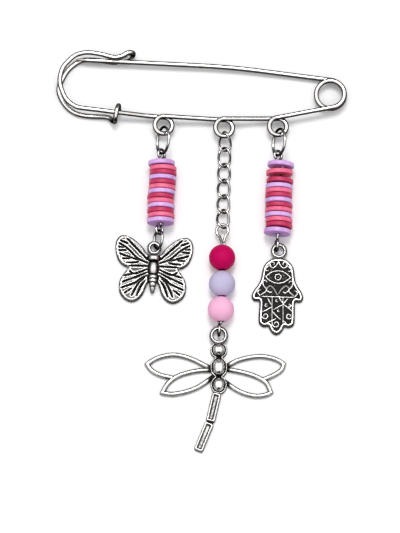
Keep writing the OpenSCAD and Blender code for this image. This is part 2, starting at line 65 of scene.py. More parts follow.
# A turned form is blackened where it is this much narrower than what lies within this reach of it.
WAIST_DEPTH = 0.22
WAIST_REACH = 0.45
# What rubbing adds to the patina of bright metal.
RUBBING = 0.6
# Most of a noise lies between these values.
NOISE_SPAN = (0.3, 0.7)

Colour = tuple[float, float, float]
Display = tuple[int, int, int]
Table = Sequence[Sequence[float]]


class Slot(Enum):
    """Material slots of the record."""

    PIN_NICKEL = "pin_nickel"
    FINE_NICKEL = "fine_nickel"
    ANTIQUE = "antique_metal"
    DISC_LILAC = "disc_lilac"
    DISC_CRIMSON = "disc_crimson"
    DISC_CORAL = "disc_coral"
    BEAD_MAGENTA = "bead_magenta"
    BEAD_LAVENDER = "bead_lavender"
    BEAD_PINK = "bead_pink"


class Body(Enum):
    """Moving bodies of the frame."""

    CLIP = "clip"
    ARM = "arm"


class Mark(Enum):
    """Ways in which a line stands on a cast face."""

    GROOVE = "groove"
    VEIN = "vein"
    RIDGE = "ridge"
    BEADED = "beaded"


# Shared geometry


def display_colour(colour: Display) -> Colour:
    """Turns a display colour into the linear one that the shaders use.

    Args:
        colour: red, green and blue from 0 to 255.

    Returns:
        The linear colour.
    """
    shares = (value / 255 for value in colour)
    red, green, blue = (s / 12.92 if s <= 0.04045 else ((s + 0.055) / 1.055) ** 2.4 for s in shares)
    return red, green, blue


def step_between(values: np.ndarray, low: float, high: float) -> np.ndarray:
    """Rises smoothly from 0 to 1 between two values.

    Args:
        values: what is compared.
        low: where the rise starts.
        high: where it ends; below low, the step falls.

    Returns:
        The share for each value.
    """
    share = np.clip((values - low) / (high - low), 0.0, 1.0)
    return share * share * (3 - 2 * share)


def spline(points: Table, steps: int) -> np.ndarray:
    """An open spline through the points, as in the part's source.

    Args:
        points: points of two or three coordinates.
        steps: steps between each two points.

    Returns:
        The finer points.
    """
    knots = np.array(points, float)
    last = len(knots) - 1
    fine = []
    for i in range(last):
        a, b, c, d = knots[max(i - 1, 0)], knots[i], knots[i + 1], knots[min(i + 2, last)]
        slope, bend, sway = c - a, 2 * a - 5 * b + 4 * c - d, 3 * b - a - 3 * c + d
        for t in np.arange(steps) / steps:
            fine.append(0.5 * (2 * b + slope * t + bend * t**2 + sway * t**3))
    return np.array(fine + [knots[last]])


def mirrored(points: np.ndarray) -> np.ndarray:
    """Joins a half outline that starts and ends on the Y axis with its mirror image."""
    return np.vstack([points, points[-2:0:-1] * [-1, 1]])


def closed_path(outline: np.ndarray) -> np.ndarray:
    """Repeats the first point of an outline at its end."""
    return np.vstack([outline, outline[:1]])


def unit(vector: np.ndarray) -> np.ndarray:
    """The vector at a length of 1."""
    return vector / np.linalg.norm(vector)


def level_arc(
    centre: Sequence[float], radius: float, first: float, last: float, low: float, high: float, steps: int
) -> np.ndarray:
    """Points of a level arc whose height changes evenly.

    Args:
        centre: x and y of the centre.
        radius: radius of the arc.
        first: angle of its first point, in degrees.
        last: angle of its last point, in degrees.
        low: height of its first point.
        high: height of its last point.
        steps: steps from end to end.

    Returns:
        The points, each with x, y and z.
    """
    share = np.linspace(0, 1, steps + 1)
    angle = np.radians(first + (last - first) * share)
    return np.column_stack(
        [centre[0] + radius * np.cos(angle), centre[1] + radius * np.sin(angle), low + (high - low) * share]
    )


def turning(about_x: float, about_y: float, about_z: float = 0.0) -> np.ndarray:
    """A rotation about X, then Y, then Z.

    Args:
        about_x: degrees about X.
        about_y: degrees about Y.
        about_z: degrees about Z.

    Returns:
        The 3 by 3 matrix for column vectors.
    """
    (cx, sx), (cy, sy), (cz, sz) = (
        (math.cos(math.radians(a)), math.sin(math.radians(a))) for a in (about_x, about_y, about_z)
    )
    rx = np.array([[1, 0, 0], [0, cx, -sx], [0, sx, cx]])
    ry = np.array([[cy, 0, sy], [0, 1, 0], [-sy, 0, cy]])
    rz = np.array([[cz, -sz, 0], [sz, cz, 0], [0, 0, 1]])
    return rz @ ry @ rx


def resampled_outline(outline: np.ndarray, spacing: float) -> np.ndarray:
    """Spaces the points of a closed outline evenly.

    Args:
        outline: points of the outline, without a repeated last point.
        spacing: wanted distance between points.

    Returns:
        The evenly spaced points.
    """
    closed = closed_path(outline)
    run = np.concatenate([[0], np.cumsum(np.linalg.norm(np.diff(closed, axis=0), axis=1))])
    count = max(8, int(run[-1] / spacing))
    at = np.linspace(0, run[-1], count, endpoint=False)
    return np.column_stack([np.interp(at, run, closed[:, k]) for k in range(2)])


def lip_crown(gap: np.ndarray, width: float) -> np.ndarray:
    """How high a rounded lip stands along an outline.

    Args:
        gap: distances from the outline.
        width: the lip's width.

    Returns:
        A share from 0 at the lip's sides to 1 on its middle.
    """
    across = 2 * np.clip(gap / width, 0, 1) - 1
    return np.sqrt(np.clip(1 - across**2, 0, 1))


def worn_patina(
    height: np.ndarray, bright: tuple[float, float], rubbed: tuple[float, float]
) -> np.ndarray:
    """Patina of a round form that is worn brighter the higher it stands.

    Args:
        height: height of each point.
        bright: heights between which black goes over into bright metal.
        rubbed: heights between which bright metal goes over into rubbed metal.

    Returns:
        The patina, above 1 where the metal is rubbed.
    """
    return step_between(height, *bright) + RUBBING * step_between(height, *rubbed)


def nearest_on_path(points: np.ndarray, path: np.ndarray) -> tuple[np.ndarray, np.ndarray]:
    """Distance of each point from a flat path, and how far along the path that is.

    Args:
        points: flat points, one row each.
        path: points of the path.

    Returns:
        The distances, and the lengths along the path to the nearest places.
    """
    best = np.full(len(points), np.inf)
    along = np.zeros(len(points))
    run = 0.0
    for a, b in zip(path[:-1], path[1:]):
        side = b - a
        length = float(np.linalg.norm(side))
        if length < WELD:
            continue
        share = np.clip((points - a) @ side / length**2, 0, 1)
        gap = np.linalg.norm(points - a - share[:, None] * side, axis=1)
        closer = gap < best
        best[closer] = gap[closer]
        along[closer] = run + share[closer] * length
        run += length
    return best, along


def inside_outline(points: np.ndarray, outline: np.ndarray) -> np.ndarray:
    """Tells which points lie inside a closed outline.

    Args:
        points: flat points, one row each.
        outline: points of the outline, without a repeated last point.

    Returns:
        True for each point that lies inside.
    """
    inside = np.zeros(len(points), bool)
    x, y = points[:, 0], points[:, 1]
    for (ax, ay), (bx, by) in zip(outline, np.roll(outline, -1, axis=0)):
        if ay == by:
            continue
        crosses = (ay > y) != (by > y)
        inside ^= crosses & (x < ax + (y - ay) / (by - ay) * (bx - ax))
    return inside


@dataclass
class Shell:
    """A closed mesh in the part's millimetres, with how bright its metal is worn.

    Patina is 0 in a blackened recess and 1 on a bright ridge.
    """

    points: np.ndarray
    faces: list[tuple[int, ...]]
    patina: np.ndarray

    def placed(self, turn: np.ndarray, at: Sequence[float]) -> "Shell":
        """The shell turned about the origin and then moved.

        Args:
            turn: 3 by 3 rotation.
            at: x, y and z of where the origin goes.

        Returns:
            The placed shell.
        """
        return Shell(self.points @ turn.T + np.array(at), self.faces, self.patina)


def joined(shells: Sequence[Shell]) -> Shell:
    """Puts several closed shells in one mesh.

    Args:
        shells: the shells.

    Returns:
        One shell with all of their faces.
    """
    faces: list[tuple[int, ...]] = []
    start = 0
    for shell in shells:
        faces += [tuple(i + start for i in face) for face in shell.faces]
        start += len(shell.points)
    return Shell(np.vstack([s.points for s in shells]), faces, np.concatenate([s.patina for s in shells]))


def linked(name: str, mesh: bpy.types.Mesh) -> bpy.types.Object:
    """Makes an object of a mesh, in the scene.

    Args:
        name: the object's name.
        mesh: its mesh.

    Returns:
        The object.
    """
    piece = bpy.data.objects.new(name, mesh)
    bpy.context.scene.collection.objects.link(piece)
    return piece


def piece_of_shell(name: str, shell: Shell, material: bpy.types.Material) -> bpy.types.Object:
    """Makes a finished piece of a shell.

    Args:
        name: the piece's name.
        shell: its mesh in millimetres.
        material: its finish.

    Returns:
        The piece, in metres, with its object at the origin.
    """
    mesh = bpy.data.meshes.new(name)
    mesh.from_pydata(((shell.points + CENTRE_SHIFT) * MM).tolist(), [], shell.faces)
    mesh.attributes.new("patina", "FLOAT", "POINT").data.foreach_set("value", shell.patina.astype(np.float32))
    mesh.polygons.foreach_set("use_smooth", np.ones(len(mesh.polygons), bool))
    mesh.materials.append(material)
    mesh.update()
    return linked(name, mesh)


def turned_shell(profile: Table, sides: int = 56) -> Shell:
    """Turns an open profile round the Y axis; it starts and ends on the axis.

    Args:
        profile: rows of y along the axis and radius, from the highest y to the lowest.
        sides: sides of the turned form.

    Returns:
        The closed shell, darker in its narrow waists.
    """
    rows = np.array(profile, float)
    rings = rows[1:-1]
    angle = np.linspace(0, 2 * math.pi, sides, endpoint=False)
    points = [np.array([[0, rows[0, 0], 0]])]
    patina = [1.0]
    for y, radius in rings:
        near = rings[np.abs(rings[:, 0] - y) < WAIST_REACH, 1].max()
        points.append(np.column_stack([radius * np.cos(angle), np.full(sides, y), radius * np.sin(angle)]))
        patina += [float(np.clip(1 - (near - radius) / WAIST_DEPTH, 0, 1))] * sides
    points.append(np.array([[0, rows[-1, 0], 0]]))
    patina.append(1.0)
    last = 1 + len(rings) * sides
    faces: list[tuple[int, ...]] = []
    for k in range(sides):
        n = (k + 1) % sides
        faces.append((0, 1 + n, 1 + k))
        for i in range(len(rings) - 1):
            a, b = 1 + i * sides, 1 + (i + 1) * sides
            faces.append((a + k, a + n, b + n, b + k))
        faces.append((last - sides + k, last - sides + n, last))
    return Shell(np.vstack(points), faces, np.array(patina))


def ring_shell(profile: Table, patina: Sequence[float], sides: int = 72) -> Shell:
    """Turns a closed profile round the Z axis.

    Args:
        profile: rows of radius and height, going up on the outer side.
        patina: brightness of each row.
        sides: sides of the ring.

    Returns:
        The closed shell.
    """
    rows = np.array(profile, float)
    count = len(rows)
    out, up = rows.T
    angle = np.linspace(0, 2 * math.pi, sides, endpoint=False)
    points = [np.column_stack([out * math.cos(a), out * math.sin(a), up]) for a in angle]
    faces = []
    for k in range(sides):
        a, b = k * count, ((k + 1) % sides) * count
        faces += [(a + i, b + i, b + (i + 1) % count, a + (i + 1) % count) for i in range(count)]
    return Shell(np.vstack(points), faces, np.tile(np.array(patina, float), sides))


# Cast faces


@dataclass
class Stroke:
    """A line on a cast face: a groove, a vein, a ridge or a row of grains."""

    path: np.ndarray
    width: float
    height: float
    mark: Mark = Mark.RIDGE
    # Over how long a stretch the line narrows to its ends, and how wide it is there.
    taper: float = 0.6
    blunt: float = 0.45
    grain_pitch: float = 0.38

    def share(self, points: np.ndarray) -> np.ndarray:
        """How much of the line's full height stands at each point.

        Args:
            points: flat points, one row each.

        Returns:
            A share from 0 beside the line to 1 on its middle.
        """
        gap, along = nearest_on_path(points, self.path)
        length = float(np.linalg.norm(np.diff(self.path, axis=0), axis=1).sum())
        if self.mark is Mark.BEADED:
            pitch = length / max(1, round(length / self.grain_pitch))
            gap = np.hypot(gap, (along / pitch - np.round(along / pitch)) * pitch)
            half = np.full(len(points), self.width / 2)
        else:
            ends = np.clip(np.minimum(along, length - along) / self.taper, 0, 1)
            half = self.width / 2 * (self.blunt + (1 - self.blunt) * np.sqrt(ends))
        return np.sqrt(np.clip(1 - (gap / half) ** 2, 0, 1))

    def crest(self, points: np.ndarray, away: float, spread: float) -> np.ndarray:
        """How much of the crest that runs along both sides of the line stands at each point.

        Args:
            points: flat points, one row each.
            away: how far the crest's top is from the line.
            spread: how wide the crest is.

        Returns:
            A share from 0 to 1 on the crest's top.
        """
        gap = nearest_on_path(points, self.path)[0]
        return np.exp(-(((gap - away) / spread) ** 2))


Sculpt = Callable[[np.ndarray, np.ndarray], tuple[np.ndarray, np.ndarray]]


@dataclass
class CastPlate:
    """A cast plate with a modelled face, straight walls and a flat back."""

    outline: np.ndarray
    spacing: float = 0.11
    # How far the grid keeps from the outline, as a share of its spacing.
    clear: float = 0.55
    wall_patina: float = 0.75

    def shell(self, sculpt: Sculpt) -> Shell:
        """Meshes the plate.

        Args:
            sculpt: gives the height and the patina of the face for flat points and
                their distances from the outline.

        Returns:
            The closed shell.
        """
        edge = resampled_outline(self.outline, self.spacing)
        count = len(edge)
        loop = [(i, (i + 1) % count) for i in range(count)]
        places, sources, faces = self._filled(np.vstack([edge, self._grid(edge)]), loop)
        height, patina = sculpt(places, nearest_on_path(places, closed_path(edge))[0])
        _, back_sources, back = self._filled(edge, loop)
        start = len(places)
        faces += [tuple(start + back_sources[i][0] for i in reversed(face)) for face in back]
        above = {source: i for i, group in enumerate(sources) for source in group}
        clockwise = self._area(edge) < 0
        for a, b in loop:
            wall = (above[a], above[b], start + b, start + a)
            faces.append(wall if clockwise else wall[::-1])
        points = np.vstack([np.column_stack([places, height]), np.column_stack([edge, np.zeros(count)])])
        return Shell(points, faces, np.concatenate([patina, np.full(count, self.wall_patina)]))

    @staticmethod
    def _area(outline: np.ndarray) -> float:
        """Signed area of a closed outline, positive where it runs anticlockwise."""
        following = np.roll(outline, -1, axis=0)
        return 0.5 * float(np.sum(outline[:, 0] * following[:, 1] - following[:, 0] * outline[:, 1]))

    @classmethod
    def _filled(
        cls, points: np.ndarray, loop: Sequence[tuple[int, int]]
    ) -> tuple[np.ndarray, Sequence[Sequence[int]], list[tuple[int, ...]]]:
        """Fills a loop with flat faces that point up.

        Args:
            points: flat points, with those of the loop first.
            loop: pairs of neighbours along the loop.

        Returns:
            The faces' points, the numbers of the given points that each one stands for, and the faces.
        """
        found = geometry.delaunay_2d_cdt([Vector(p) for p in points], loop, [], 1, WELD)
        places = np.array([[v.x, v.y] for v in found[0]])
        up = (cls._area(places[list(face)]) > 0 for face in found[2])
        return places, found[3], [tuple(f) if is_up else tuple(reversed(f)) for f, is_up in zip(found[2], up)]

    def _grid(self, edge: np.ndarray) -> np.ndarray:
        """Evenly spread points inside the outline.

        Args:
            edge: the evenly spaced outline.

        Returns:
            Points of a triangular grid that keep clear of the outline.
        """
        low, high = edge.min(0), edge.max(0)
        rows = np.arange(low[1], high[1], self.spacing * math.sqrt(3) / 2)
        points = []
        for k, y in enumerate(rows):
            x = np.arange(low[0] + (k % 2) * self.spacing / 2, high[0], self.spacing)
            points.append(np.column_stack([x, np.full(len(x), y)]))
        grid = np.vstack(points)
        grid = grid[inside_outline(grid, edge)]
        gap = nearest_on_path(grid, closed_path(edge))[0]
        return grid[gap > self.spacing * self.clear]


# Node trees


class TreeMaker:
    """A Geometry Nodes tree with named inputs, built node by node."""

    def __init__(self, name: str) -> None:
        """Starts a tree.

        Args:
            name: the tree's name.
        """
        self.tree = bpy.data.node_groups.new(name, "GeometryNodeTree")
        self.tree.is_modifier = True
        for side in ("INPUT", "OUTPUT"):
            self.tree.interface.new_socket("Geometry", in_out=side, socket_type="NodeSocketGeometry")
        self.source = self.tree.nodes.new("NodeGroupInput")
        self.sink = self.tree.nodes.new("NodeGroupOutput")

    def size(self, name: str, kind: str = "Float") -> bpy.types.NodeSocket:
        """Adds a named input.

        Args:
            name: the input's name.
            kind: Float, Int or Material.

        Returns:
            The socket that gives the input inside the tree.
        """
        self.tree.interface.new_socket(name, in_out="INPUT", socket_type="NodeSocket" + kind)
        return self.source.outputs[name]

    def node(self, kind: str, inputs: dict[str | int, object], **settings: object) -> bpy.types.Node:
        """Adds a node.

        Args:
            kind: the node's type, without its GeometryNode prefix where it has one.
            inputs: sockets or values for its inputs, by name or number.
            **settings: the node's own settings.

        Returns:
            The node.
        """
        full = kind if kind.startswith(("Shader", "Function")) else "GeometryNode" + kind
        node = self.tree.nodes.new(full)
        for name, value in settings.items():
            setattr(node, name, value)
        for name, value in inputs.items():
            if isinstance(value, bpy.types.NodeSocket):
                self.tree.links.new(value, node.inputs[name])
            else:
                node.inputs[name].default_value = value
        return node

    def maths(self, operation: str, first: object, second: object = 0.0) -> bpy.types.NodeSocket:
        """Adds a Math node.

        Args:
            operation: its operation.
            first: first socket or number.
            second: second socket or number.

        Returns:
            The result's socket.
        """
        return self.node("ShaderNodeMath", {0: first, 1: second}, operation=operation).outputs[0]

    def circle(self, sides: object, radius: object) -> bpy.types.NodeSocket:
        """Adds a circle of a number of sides and a radius."""
        sizes = {"Resolution": sides, "Radius": radius}
        return self.node("CurvePrimitiveCircle", sizes, mode="RADIUS").outputs[0]

    def axes(self, kind: str) -> Sequence[bpy.types.NodeSocket]:
        """X, Y and Z of each point's Position or Normal."""
        return self.node("ShaderNodeSeparateXYZ", {0: self.node("Input" + kind, {}).outputs[0]}).outputs

    def keep(
        self, shape: bpy.types.NodeSocket, name: str, value: bpy.types.NodeSocket
    ) -> bpy.types.NodeSocket:
        """Keeps a number for each point of a shape.

        Args:
            shape: the geometry.
            name: name of the attribute that holds the number.
            value: the number.

        Returns:
            The same geometry with the attribute.
        """
        kept = {"Geometry": shape, "Name": name, "Value": value}
        return self.node("StoreNamedAttribute", kept, data_type="FLOAT", domain="POINT").outputs[0]

    def keep_upward(self, shape: bpy.types.NodeSocket) -> bpy.types.NodeSocket:
        """Keeps how far each point faces up, which sets where a wire's painted flank shade ends."""
        return self.keep(shape, "upward", self.axes("Normal")[2])

    def set_on_points(self, shape: bpy.types.NodeSocket) -> bpy.types.NodeSocket:
        """Sets a copy of a shape on each given point, turned as the point's attribute says.

        Args:
            shape: the geometry that is repeated.

        Returns:
            The instances.
        """
        turn = self.node("InputNamedAttribute", {"Name": "turn"}, data_type="FLOAT_VECTOR").outputs[0]
        rotation = self.node("FunctionNodeEulerToRotation", {"Euler": turn}).outputs[0]
        points = self.source.outputs["Geometry"]
        inputs = {"Points": points, "Instance": shape, "Rotation": rotation}
        return self.node("InstanceOnPoints", inputs).outputs[0]

    def finish(self, shape: bpy.types.NodeSocket, material: bpy.types.NodeSocket) -> None:
        """Ends the tree in smooth shading, real geometry and a material.

        Args:
            shape: the geometry.
            material: the material.
        """
        smooth = self.node("SetShadeSmooth", {"Geometry": shape})
        real = self.node("RealizeInstances", {"Geometry": smooth.outputs[0]})
        dressed = self.node("SetMaterial", {"Geometry": real.outputs[0], "Material": material})
        self.tree.links.new(dressed.outputs[0], self.sink.inputs[0])

    def grow(self, name: str, path: bpy.types.Mesh, sizes: dict[str, object]) -> bpy.types.Object:
        """Runs the tree on a mesh and keeps the result as a plain piece.

        Args:
            name: the piece's name.
            path: the mesh that the tree starts from.
            sizes: a value for each named input.

        Returns:
            The piece, with no modifier on it.
        """
        source = linked(name + "_path", path)
        modifier = source.modifiers.new("tree", "NODES")
        modifier.node_group = self.tree
        for item in self.tree.interface.items_tree:
            if item.in_out == "INPUT" and item.name in sizes:
                modifier[item.identifier] = sizes[item.name]
        bpy.context.view_layer.update()
        evaluated = source.evaluated_get(bpy.context.evaluated_depsgraph_get())
        mesh = bpy.data.meshes.new_from_object(evaluated)
        mesh.name = name
        bpy.data.objects.remove(source)
        return linked(name, mesh)


def path_mesh(name: str, points: np.ndarray, edges: bool, **values: np.ndarray) -> bpy.types.Mesh:
    """A mesh of points, joined in a line or loose, that a tree starts from.

    Args:
        name: the mesh's name.
        points: points in millimetres.
        edges: joins each point to the next.
        **values: for each point, a number or three numbers to keep as an attribute.

    Returns:
        The mesh, in metres.
    """
    pairs = [(i, i + 1) for i in range(len(points) - 1)] if edges else []
    mesh = bpy.data.meshes.new(name)
    mesh.from_pydata(((points + CENTRE_SHIFT) * MM).tolist(), pairs, [])
    for key, value in values.items():
        rows = np.asarray(value, np.float32)
        kind, prop = ("FLOAT", "value") if rows.ndim == 1 else ("FLOAT_VECTOR", "vector")
        mesh.attributes.new(key, kind, "POINT").data.foreach_set(prop, rows.ravel())
    return mesh


class WireBender:
    """Sweeps a round wire along a path whose points hold the wire's radius."""

    def __init__(self) -> None:
        """Builds the tree."""
        maker = TreeMaker("bent_wire")
        sides = maker.size("Sides", "Int")
        spacing = maker.size("Spacing")
        material = maker.size("Finish", "Material")
        curve = maker.node("MeshToCurve", {"Mesh": maker.source.outputs["Geometry"]})
        even = maker.node("ResampleCurve", {"Curve": curve.outputs[0], "Length": spacing}, mode="LENGTH")
        radius = maker.node("InputNamedAttribute", {"Name": "wire_radius"}, data_type="FLOAT")
        ring = {"Profile Curve": maker.circle(sides, 1.0), "Scale": radius.outputs[0], "Fill Caps": True}
        wire = maker.node("CurveToMesh", {"Curve": even.outputs[0], **ring})
        maker.finish(maker.keep_upward(wire.outputs[0]), material)
        self.maker = maker

    def bend(
        self,
        name: str,
        path: np.ndarray,
        radius: np.ndarray | float,
        material: bpy.types.Material,
        sides: int,
        spacing: float,
    ) -> bpy.types.Object:
        """Bends one wire.

        Args:
            name: the piece's name.
            path: the wire's centre line in millimetres.
            radius: its radius, or the radius at each point.
            material: its finish.
            sides: sides of the swept wire.
            spacing: distance between its rings in millimetres.

        Returns:
            The wire as a plain piece.
        """
        radii = np.broadcast_to(np.asarray(radius, float), (len(path),)) * MM
        mesh = path_mesh(name, path, True, wire_radius=radii)
        return self.maker.grow(name, mesh, {"Sides": sides, "Spacing": spacing * MM, "Finish": material})


# Finishes


class NodeMaker:
    """Adds and joins the nodes of a shader tree."""

    def __init__(self, tree: bpy.types.NodeTree) -> None:
        """Starts on a tree."""
        self.tree = tree

    def node(self, kind: str) -> bpy.types.Node:
        """Adds a node; its kind stands without the ShaderNode prefix."""
        return self.tree.nodes.new("ShaderNode" + kind)

    def feed(self, socket: bpy.types.NodeSocket, value: object) -> None:
        """Gives an input what it needs.

        Args:
            socket: the input.
            value: a socket that is linked to it, a colour or a number.
        """
        if isinstance(value, bpy.types.NodeSocket):
            self.tree.links.new(value, socket)
        elif isinstance(value, tuple):
            socket.default_value = (*value, 1)
        else:
            socket.default_value = value

    def spread(
        self,
        value: bpy.types.NodeSocket,
        low: float,
        high: float,
        limits: tuple[float, float],
        easing: str = "LINEAR",
    ) -> bpy.types.NodeSocket:
        """Maps a value to a range.

        Args:
            value: what is mapped.
            low: the result at the first limit.
            high: the result at the second limit.
            limits: the values that give the two results.
            easing: how the result goes from one to the other.

        Returns:
            The mapped value.
        """
        node = self.node("MapRange")
        node.interpolation_type = easing
        for key, number in zip(("From Min", "From Max", "To Min", "To Max"), (*limits, low, high)):
            node.inputs[key].default_value = number
        self.feed(node.inputs["Value"], value)
        return node.outputs[0]

    def maths(self, operation: str, first: object, second: object = 0.0) -> bpy.types.NodeSocket:
        """Adds a Math node.

        Args:
            operation: its operation.
            first: first socket or number.
            second: second socket or number.

        Returns:
            The result's socket.
        """
        node = self.node("Math")
        node.operation = operation
        self.feed(node.inputs[0], first)
        self.feed(node.inputs[1], second)
        return node.outputs[0]

    def blend(self, share: bpy.types.NodeSocket, first: object, second: object) -> bpy.types.NodeSocket:
        """Blends two colours.

        Args:
            share: 0 for the first colour and 1 for the second.
            first: a colour or a socket.
            second: a colour or a socket.

        Returns:
            The blended colour.
        """
        node = self.node("Mix")
        node.data_type = "RGBA"
        for number, value in ((0, share), (6, first), (7, second)):
            self.feed(node.inputs[number], value)
        return node.outputs[2]


class ShaderMaker(NodeMaker):
    """The node tree of one material, built node by node."""

    def __init__(self, name: str) -> None:
        """Starts a material with a principled shader.

        Args:
            name: the material's name.
        """
        self.material = bpy.data.materials.new(name)
        self.material.use_nodes = True
        super().__init__(self.material.node_tree)
        self.shader = self.tree.nodes["Principled BSDF"]
        self.place = self.node("TexCoord").outputs["Object"]

    def noise(self, scale: float, detail: float) -> bpy.types.NodeSocket:
        """Adds a noise.

        Args:
            scale: its scale per metre.
            detail: its detail.

        Returns:
            The noise from 0 to 1.
        """
        noise = self.node("TexNoise")
        for name, value in (("Scale", scale), ("Detail", detail), ("Vector", self.place)):
            self.feed(noise.inputs[name], value)
        return noise.outputs["Fac"]

    def attribute(self, name: str) -> bpy.types.NodeSocket:
        """Reads a number that the mesh holds.

        Args:
            name: the attribute's name.

        Returns:
            The number.
        """
        node = self.node("Attribute")
        node.attribute_name = name
        return node.outputs["Fac"]

    def set(self, name: str, value: object) -> None:
        """Sets or links an input of the shader."""
        self.feed(self.shader.inputs[name], value)


@dataclass(frozen=True)
class Pattern:
    """A noise whose values between two limits give the results between two others."""

    scale: float
    detail: float
    results: tuple[float, float]
    limits: tuple[float, float] = NOISE_SPAN

    def on(self, maker: ShaderMaker) -> bpy.types.NodeSocket:
        """The pattern in a material's tree."""
        return maker.spread(maker.noise(self.scale, self.detail), *self.results, self.limits)


@dataclass(frozen=True)
class Relief:
    """A fine relief of a surface: its noise, its full height in metres and how much of it shows."""

    scale: float
    detail: float
    depth: float
    strength: float

    def on(self, maker: ShaderMaker) -> None:
        """Raises a material's surface.

        Args:
            maker: the material's tree.
        """
        bump = maker.node("Bump")
        noise = maker.noise(self.scale, self.detail)
        for name, value in (("Distance", self.depth), ("Strength", self.strength), ("Height", noise)):
            maker.feed(bump.inputs[name], value)
        maker.set("Normal", bump.outputs[0])


@dataclass(frozen=True)
class PolishedPlating:
    """Bright nickel plating on drawn wire: faint draw marks, haze, and painted shade on its flanks, a dark
    base colour that stands in for the shadow and dark reflection below the wire.
    """

    name: str
    tint: Colour = (0.78, 0.76, 0.745)
    shade: Colour = (0.66, 0.64, 0.63)
    # Painted shade and painted dark reflection laid on the wire's flanks.
    flank_shade: Colour = (0.075, 0.07, 0.068)
    # Painted shade: how far up the wire faces where the dark flanks are full and where they end.
    flank_shade_from: tuple[float, float] = (0.7, 0.94)
    rim: Colour = (0.0, 0.0, 0.0)
    haze: Pattern = Pattern(420, 4, (0, 1), (0.35, 0.7))
    draw_marks: Pattern = Pattern(5200, 2, (0.08, 0.14))
    ripple: Relief = Relief(1900, 3, 0.000012, 0.5)

    def material(self) -> bpy.types.Material:
        """Makes the material.

        Returns:
            The material.
        """
        maker = ShaderMaker(self.name)
        upward = maker.spread(maker.attribute("upward"), 0, 1, self.flank_shade_from)
        clean = maker.blend(self.haze.on(maker), self.tint, self.shade)
        maker.set("Metallic", 1.0)
        # The base colour goes dark on the downward-facing flanks: painted shade and dark reflection.
        maker.set("Base Color", maker.blend(upward, self.flank_shade, clean))
        maker.set("Specular Tint", self.rim)
        maker.set("Roughness", self.draw_marks.on(maker))
        self.ripple.on(maker)
        return maker.material


@dataclass(frozen=True)
class AntiquedSilver:
    """Antiqued casting: bright rubbed ridges, blackened recesses, fine cast grain."""

    name: str
    bright: Colour = (0.5, 0.49, 0.48)
    black: Colour = (0.012, 0.011, 0.011)
    rubbed: Colour = (0.8, 0.79, 0.77)
    rim: Colour = (0.0, 0.0, 0.0)
    # The patina where black goes over into bright, and where bright goes over into rubbed.
    bright_from: tuple[float, float] = (0.15, 0.92)
    rubbed_from: tuple[float, float] = (1.22, 1.45)
    # Roughness of black and of bright metal, and what rubbing adds to it.
    polish: tuple[float, float] = (0.5, 0.22)
    gloss: float = -0.08
    speckle: Pattern = Pattern(2600, 5, (-0.14, 0.14))
    clouds: Pattern = Pattern(500, 3, (-0.08, 0.08))
    grain: Relief = Relief(2600, 5, 0.00003, 0.6)

    def material(self) -> bpy.types.Material:
        """Makes the material, which reads the mesh's patina.

        Returns:
            The material.
        """
        maker = ShaderMaker(self.name)
        worn = maker.maths("ADD", maker.attribute("patina"), self.speckle.on(maker))
        worn = maker.maths("ADD", worn, self.clouds.on(maker))
        share = maker.spread(worn, 0, 1, self.bright_from)
        cast = maker.blend(share, self.black, self.bright)
        roughness = maker.spread(share, *self.polish, (0, 1))
        maker.set("Metallic", 1.0)
        maker.set("Base Color", maker.blend(maker.spread(worn, 0, 1, self.rubbed_from), cast, self.rubbed))
        maker.set("Specular Tint", self.rim)
        gloss = maker.spread(worn, 0, self.gloss, self.rubbed_from)
        maker.set("Roughness", maker.maths("ADD", roughness, gloss))
        self.grain.on(maker)
        return maker.material


@dataclass(frozen=True)
class DiscClay:
    """Coloured polymer clay of a punched disc: satin, specked, with random mottling, and painted shade
    darkening its rim towards the faces, where the discs meet.
    """

    name: str
    colour: Display
    # The darker colour: painted shade near the faces, and random mottling all over.
    edge: Display
    specular: float = 0.45
    # Painted shade between the discs: where on the rim, from its middle to the disc's faces, the darker
    # colour comes in, and how much of it.
    crevice_shade_from: tuple[float, float] = (0.45, 1.0)
    crevice_shade_share: float = 0.85
    clouds: Pattern = Pattern(800, 4, (0, 0.6), (0.42, 0.72))
    satin: Pattern = Pattern(2500, 3, (0.42, 0.6))
    specks: Relief = Relief(3800, 4, 0.00003, 0.6)

    def material(self) -> bpy.types.Material:
        """Makes the material, which reads how near a point is to the disc's faces.

        Returns:
            The material.
        """
        maker = ShaderMaker(self.name)
        edge = display_colour(self.edge)
        # Painted shade: the rim darkens towards the disc's faces, where the discs meet.
        rim = maker.spread(maker.attribute("rim"), 0, self.crevice_shade_share, self.crevice_shade_from)
        face = maker.blend(self.clouds.on(maker), display_colour(self.colour), edge)
        maker.set("Base Color", maker.blend(rim, face, edge))
        maker.set("Roughness", self.satin.on(maker))
        maker.set("Specular IOR Level", self.specular)
        self.specks.on(maker)
        return maker.material


@dataclass(frozen=True)
class FrostedBead:
    """Dyed acrylic of a matte round bead: an even colour under a soft sheen."""

    name: str
    colour: Display
    depth: Display
    specular: float = 0.08
    clouds: Pattern = Pattern(450, 3, (0, 0.5), (0.4, 0.75))
    satin: Pattern = Pattern(1800, 3, (0.52, 0.64))
    frost: Relief = Relief(6500, 2, 0.00001, 0.4)

    def material(self) -> bpy.types.Material:
        """Makes the material.

        Returns:
            The material.
        """
        maker = ShaderMaker(self.name)
        colours = display_colour(self.colour), display_colour(self.depth)
        maker.set("Base Color", maker.blend(self.clouds.on(maker), *colours))
        maker.set("Roughness", self.satin.on(maker))
        maker.set("Specular IOR Level", self.specular)
        self.frost.on(maker)
        return maker.material


@dataclass(frozen=True)
class PaperFloor:
    """White paper of the table."""

    name: str = "white_paper"
    colour: Colour = (0.93, 0.93, 0.93)
    roughness: float = 0.9
    specular: float = 0.1

    def material(self) -> bpy.types.Material:
        """Makes the material.

        Returns:
            The material.
        """
        maker = ShaderMaker(self.name)
        maker.set("Base Color", self.colour)
        maker.set("Roughness", self.roughness)
        maker.set("Specular IOR Level", self.specular)
        return maker.material


# The studio


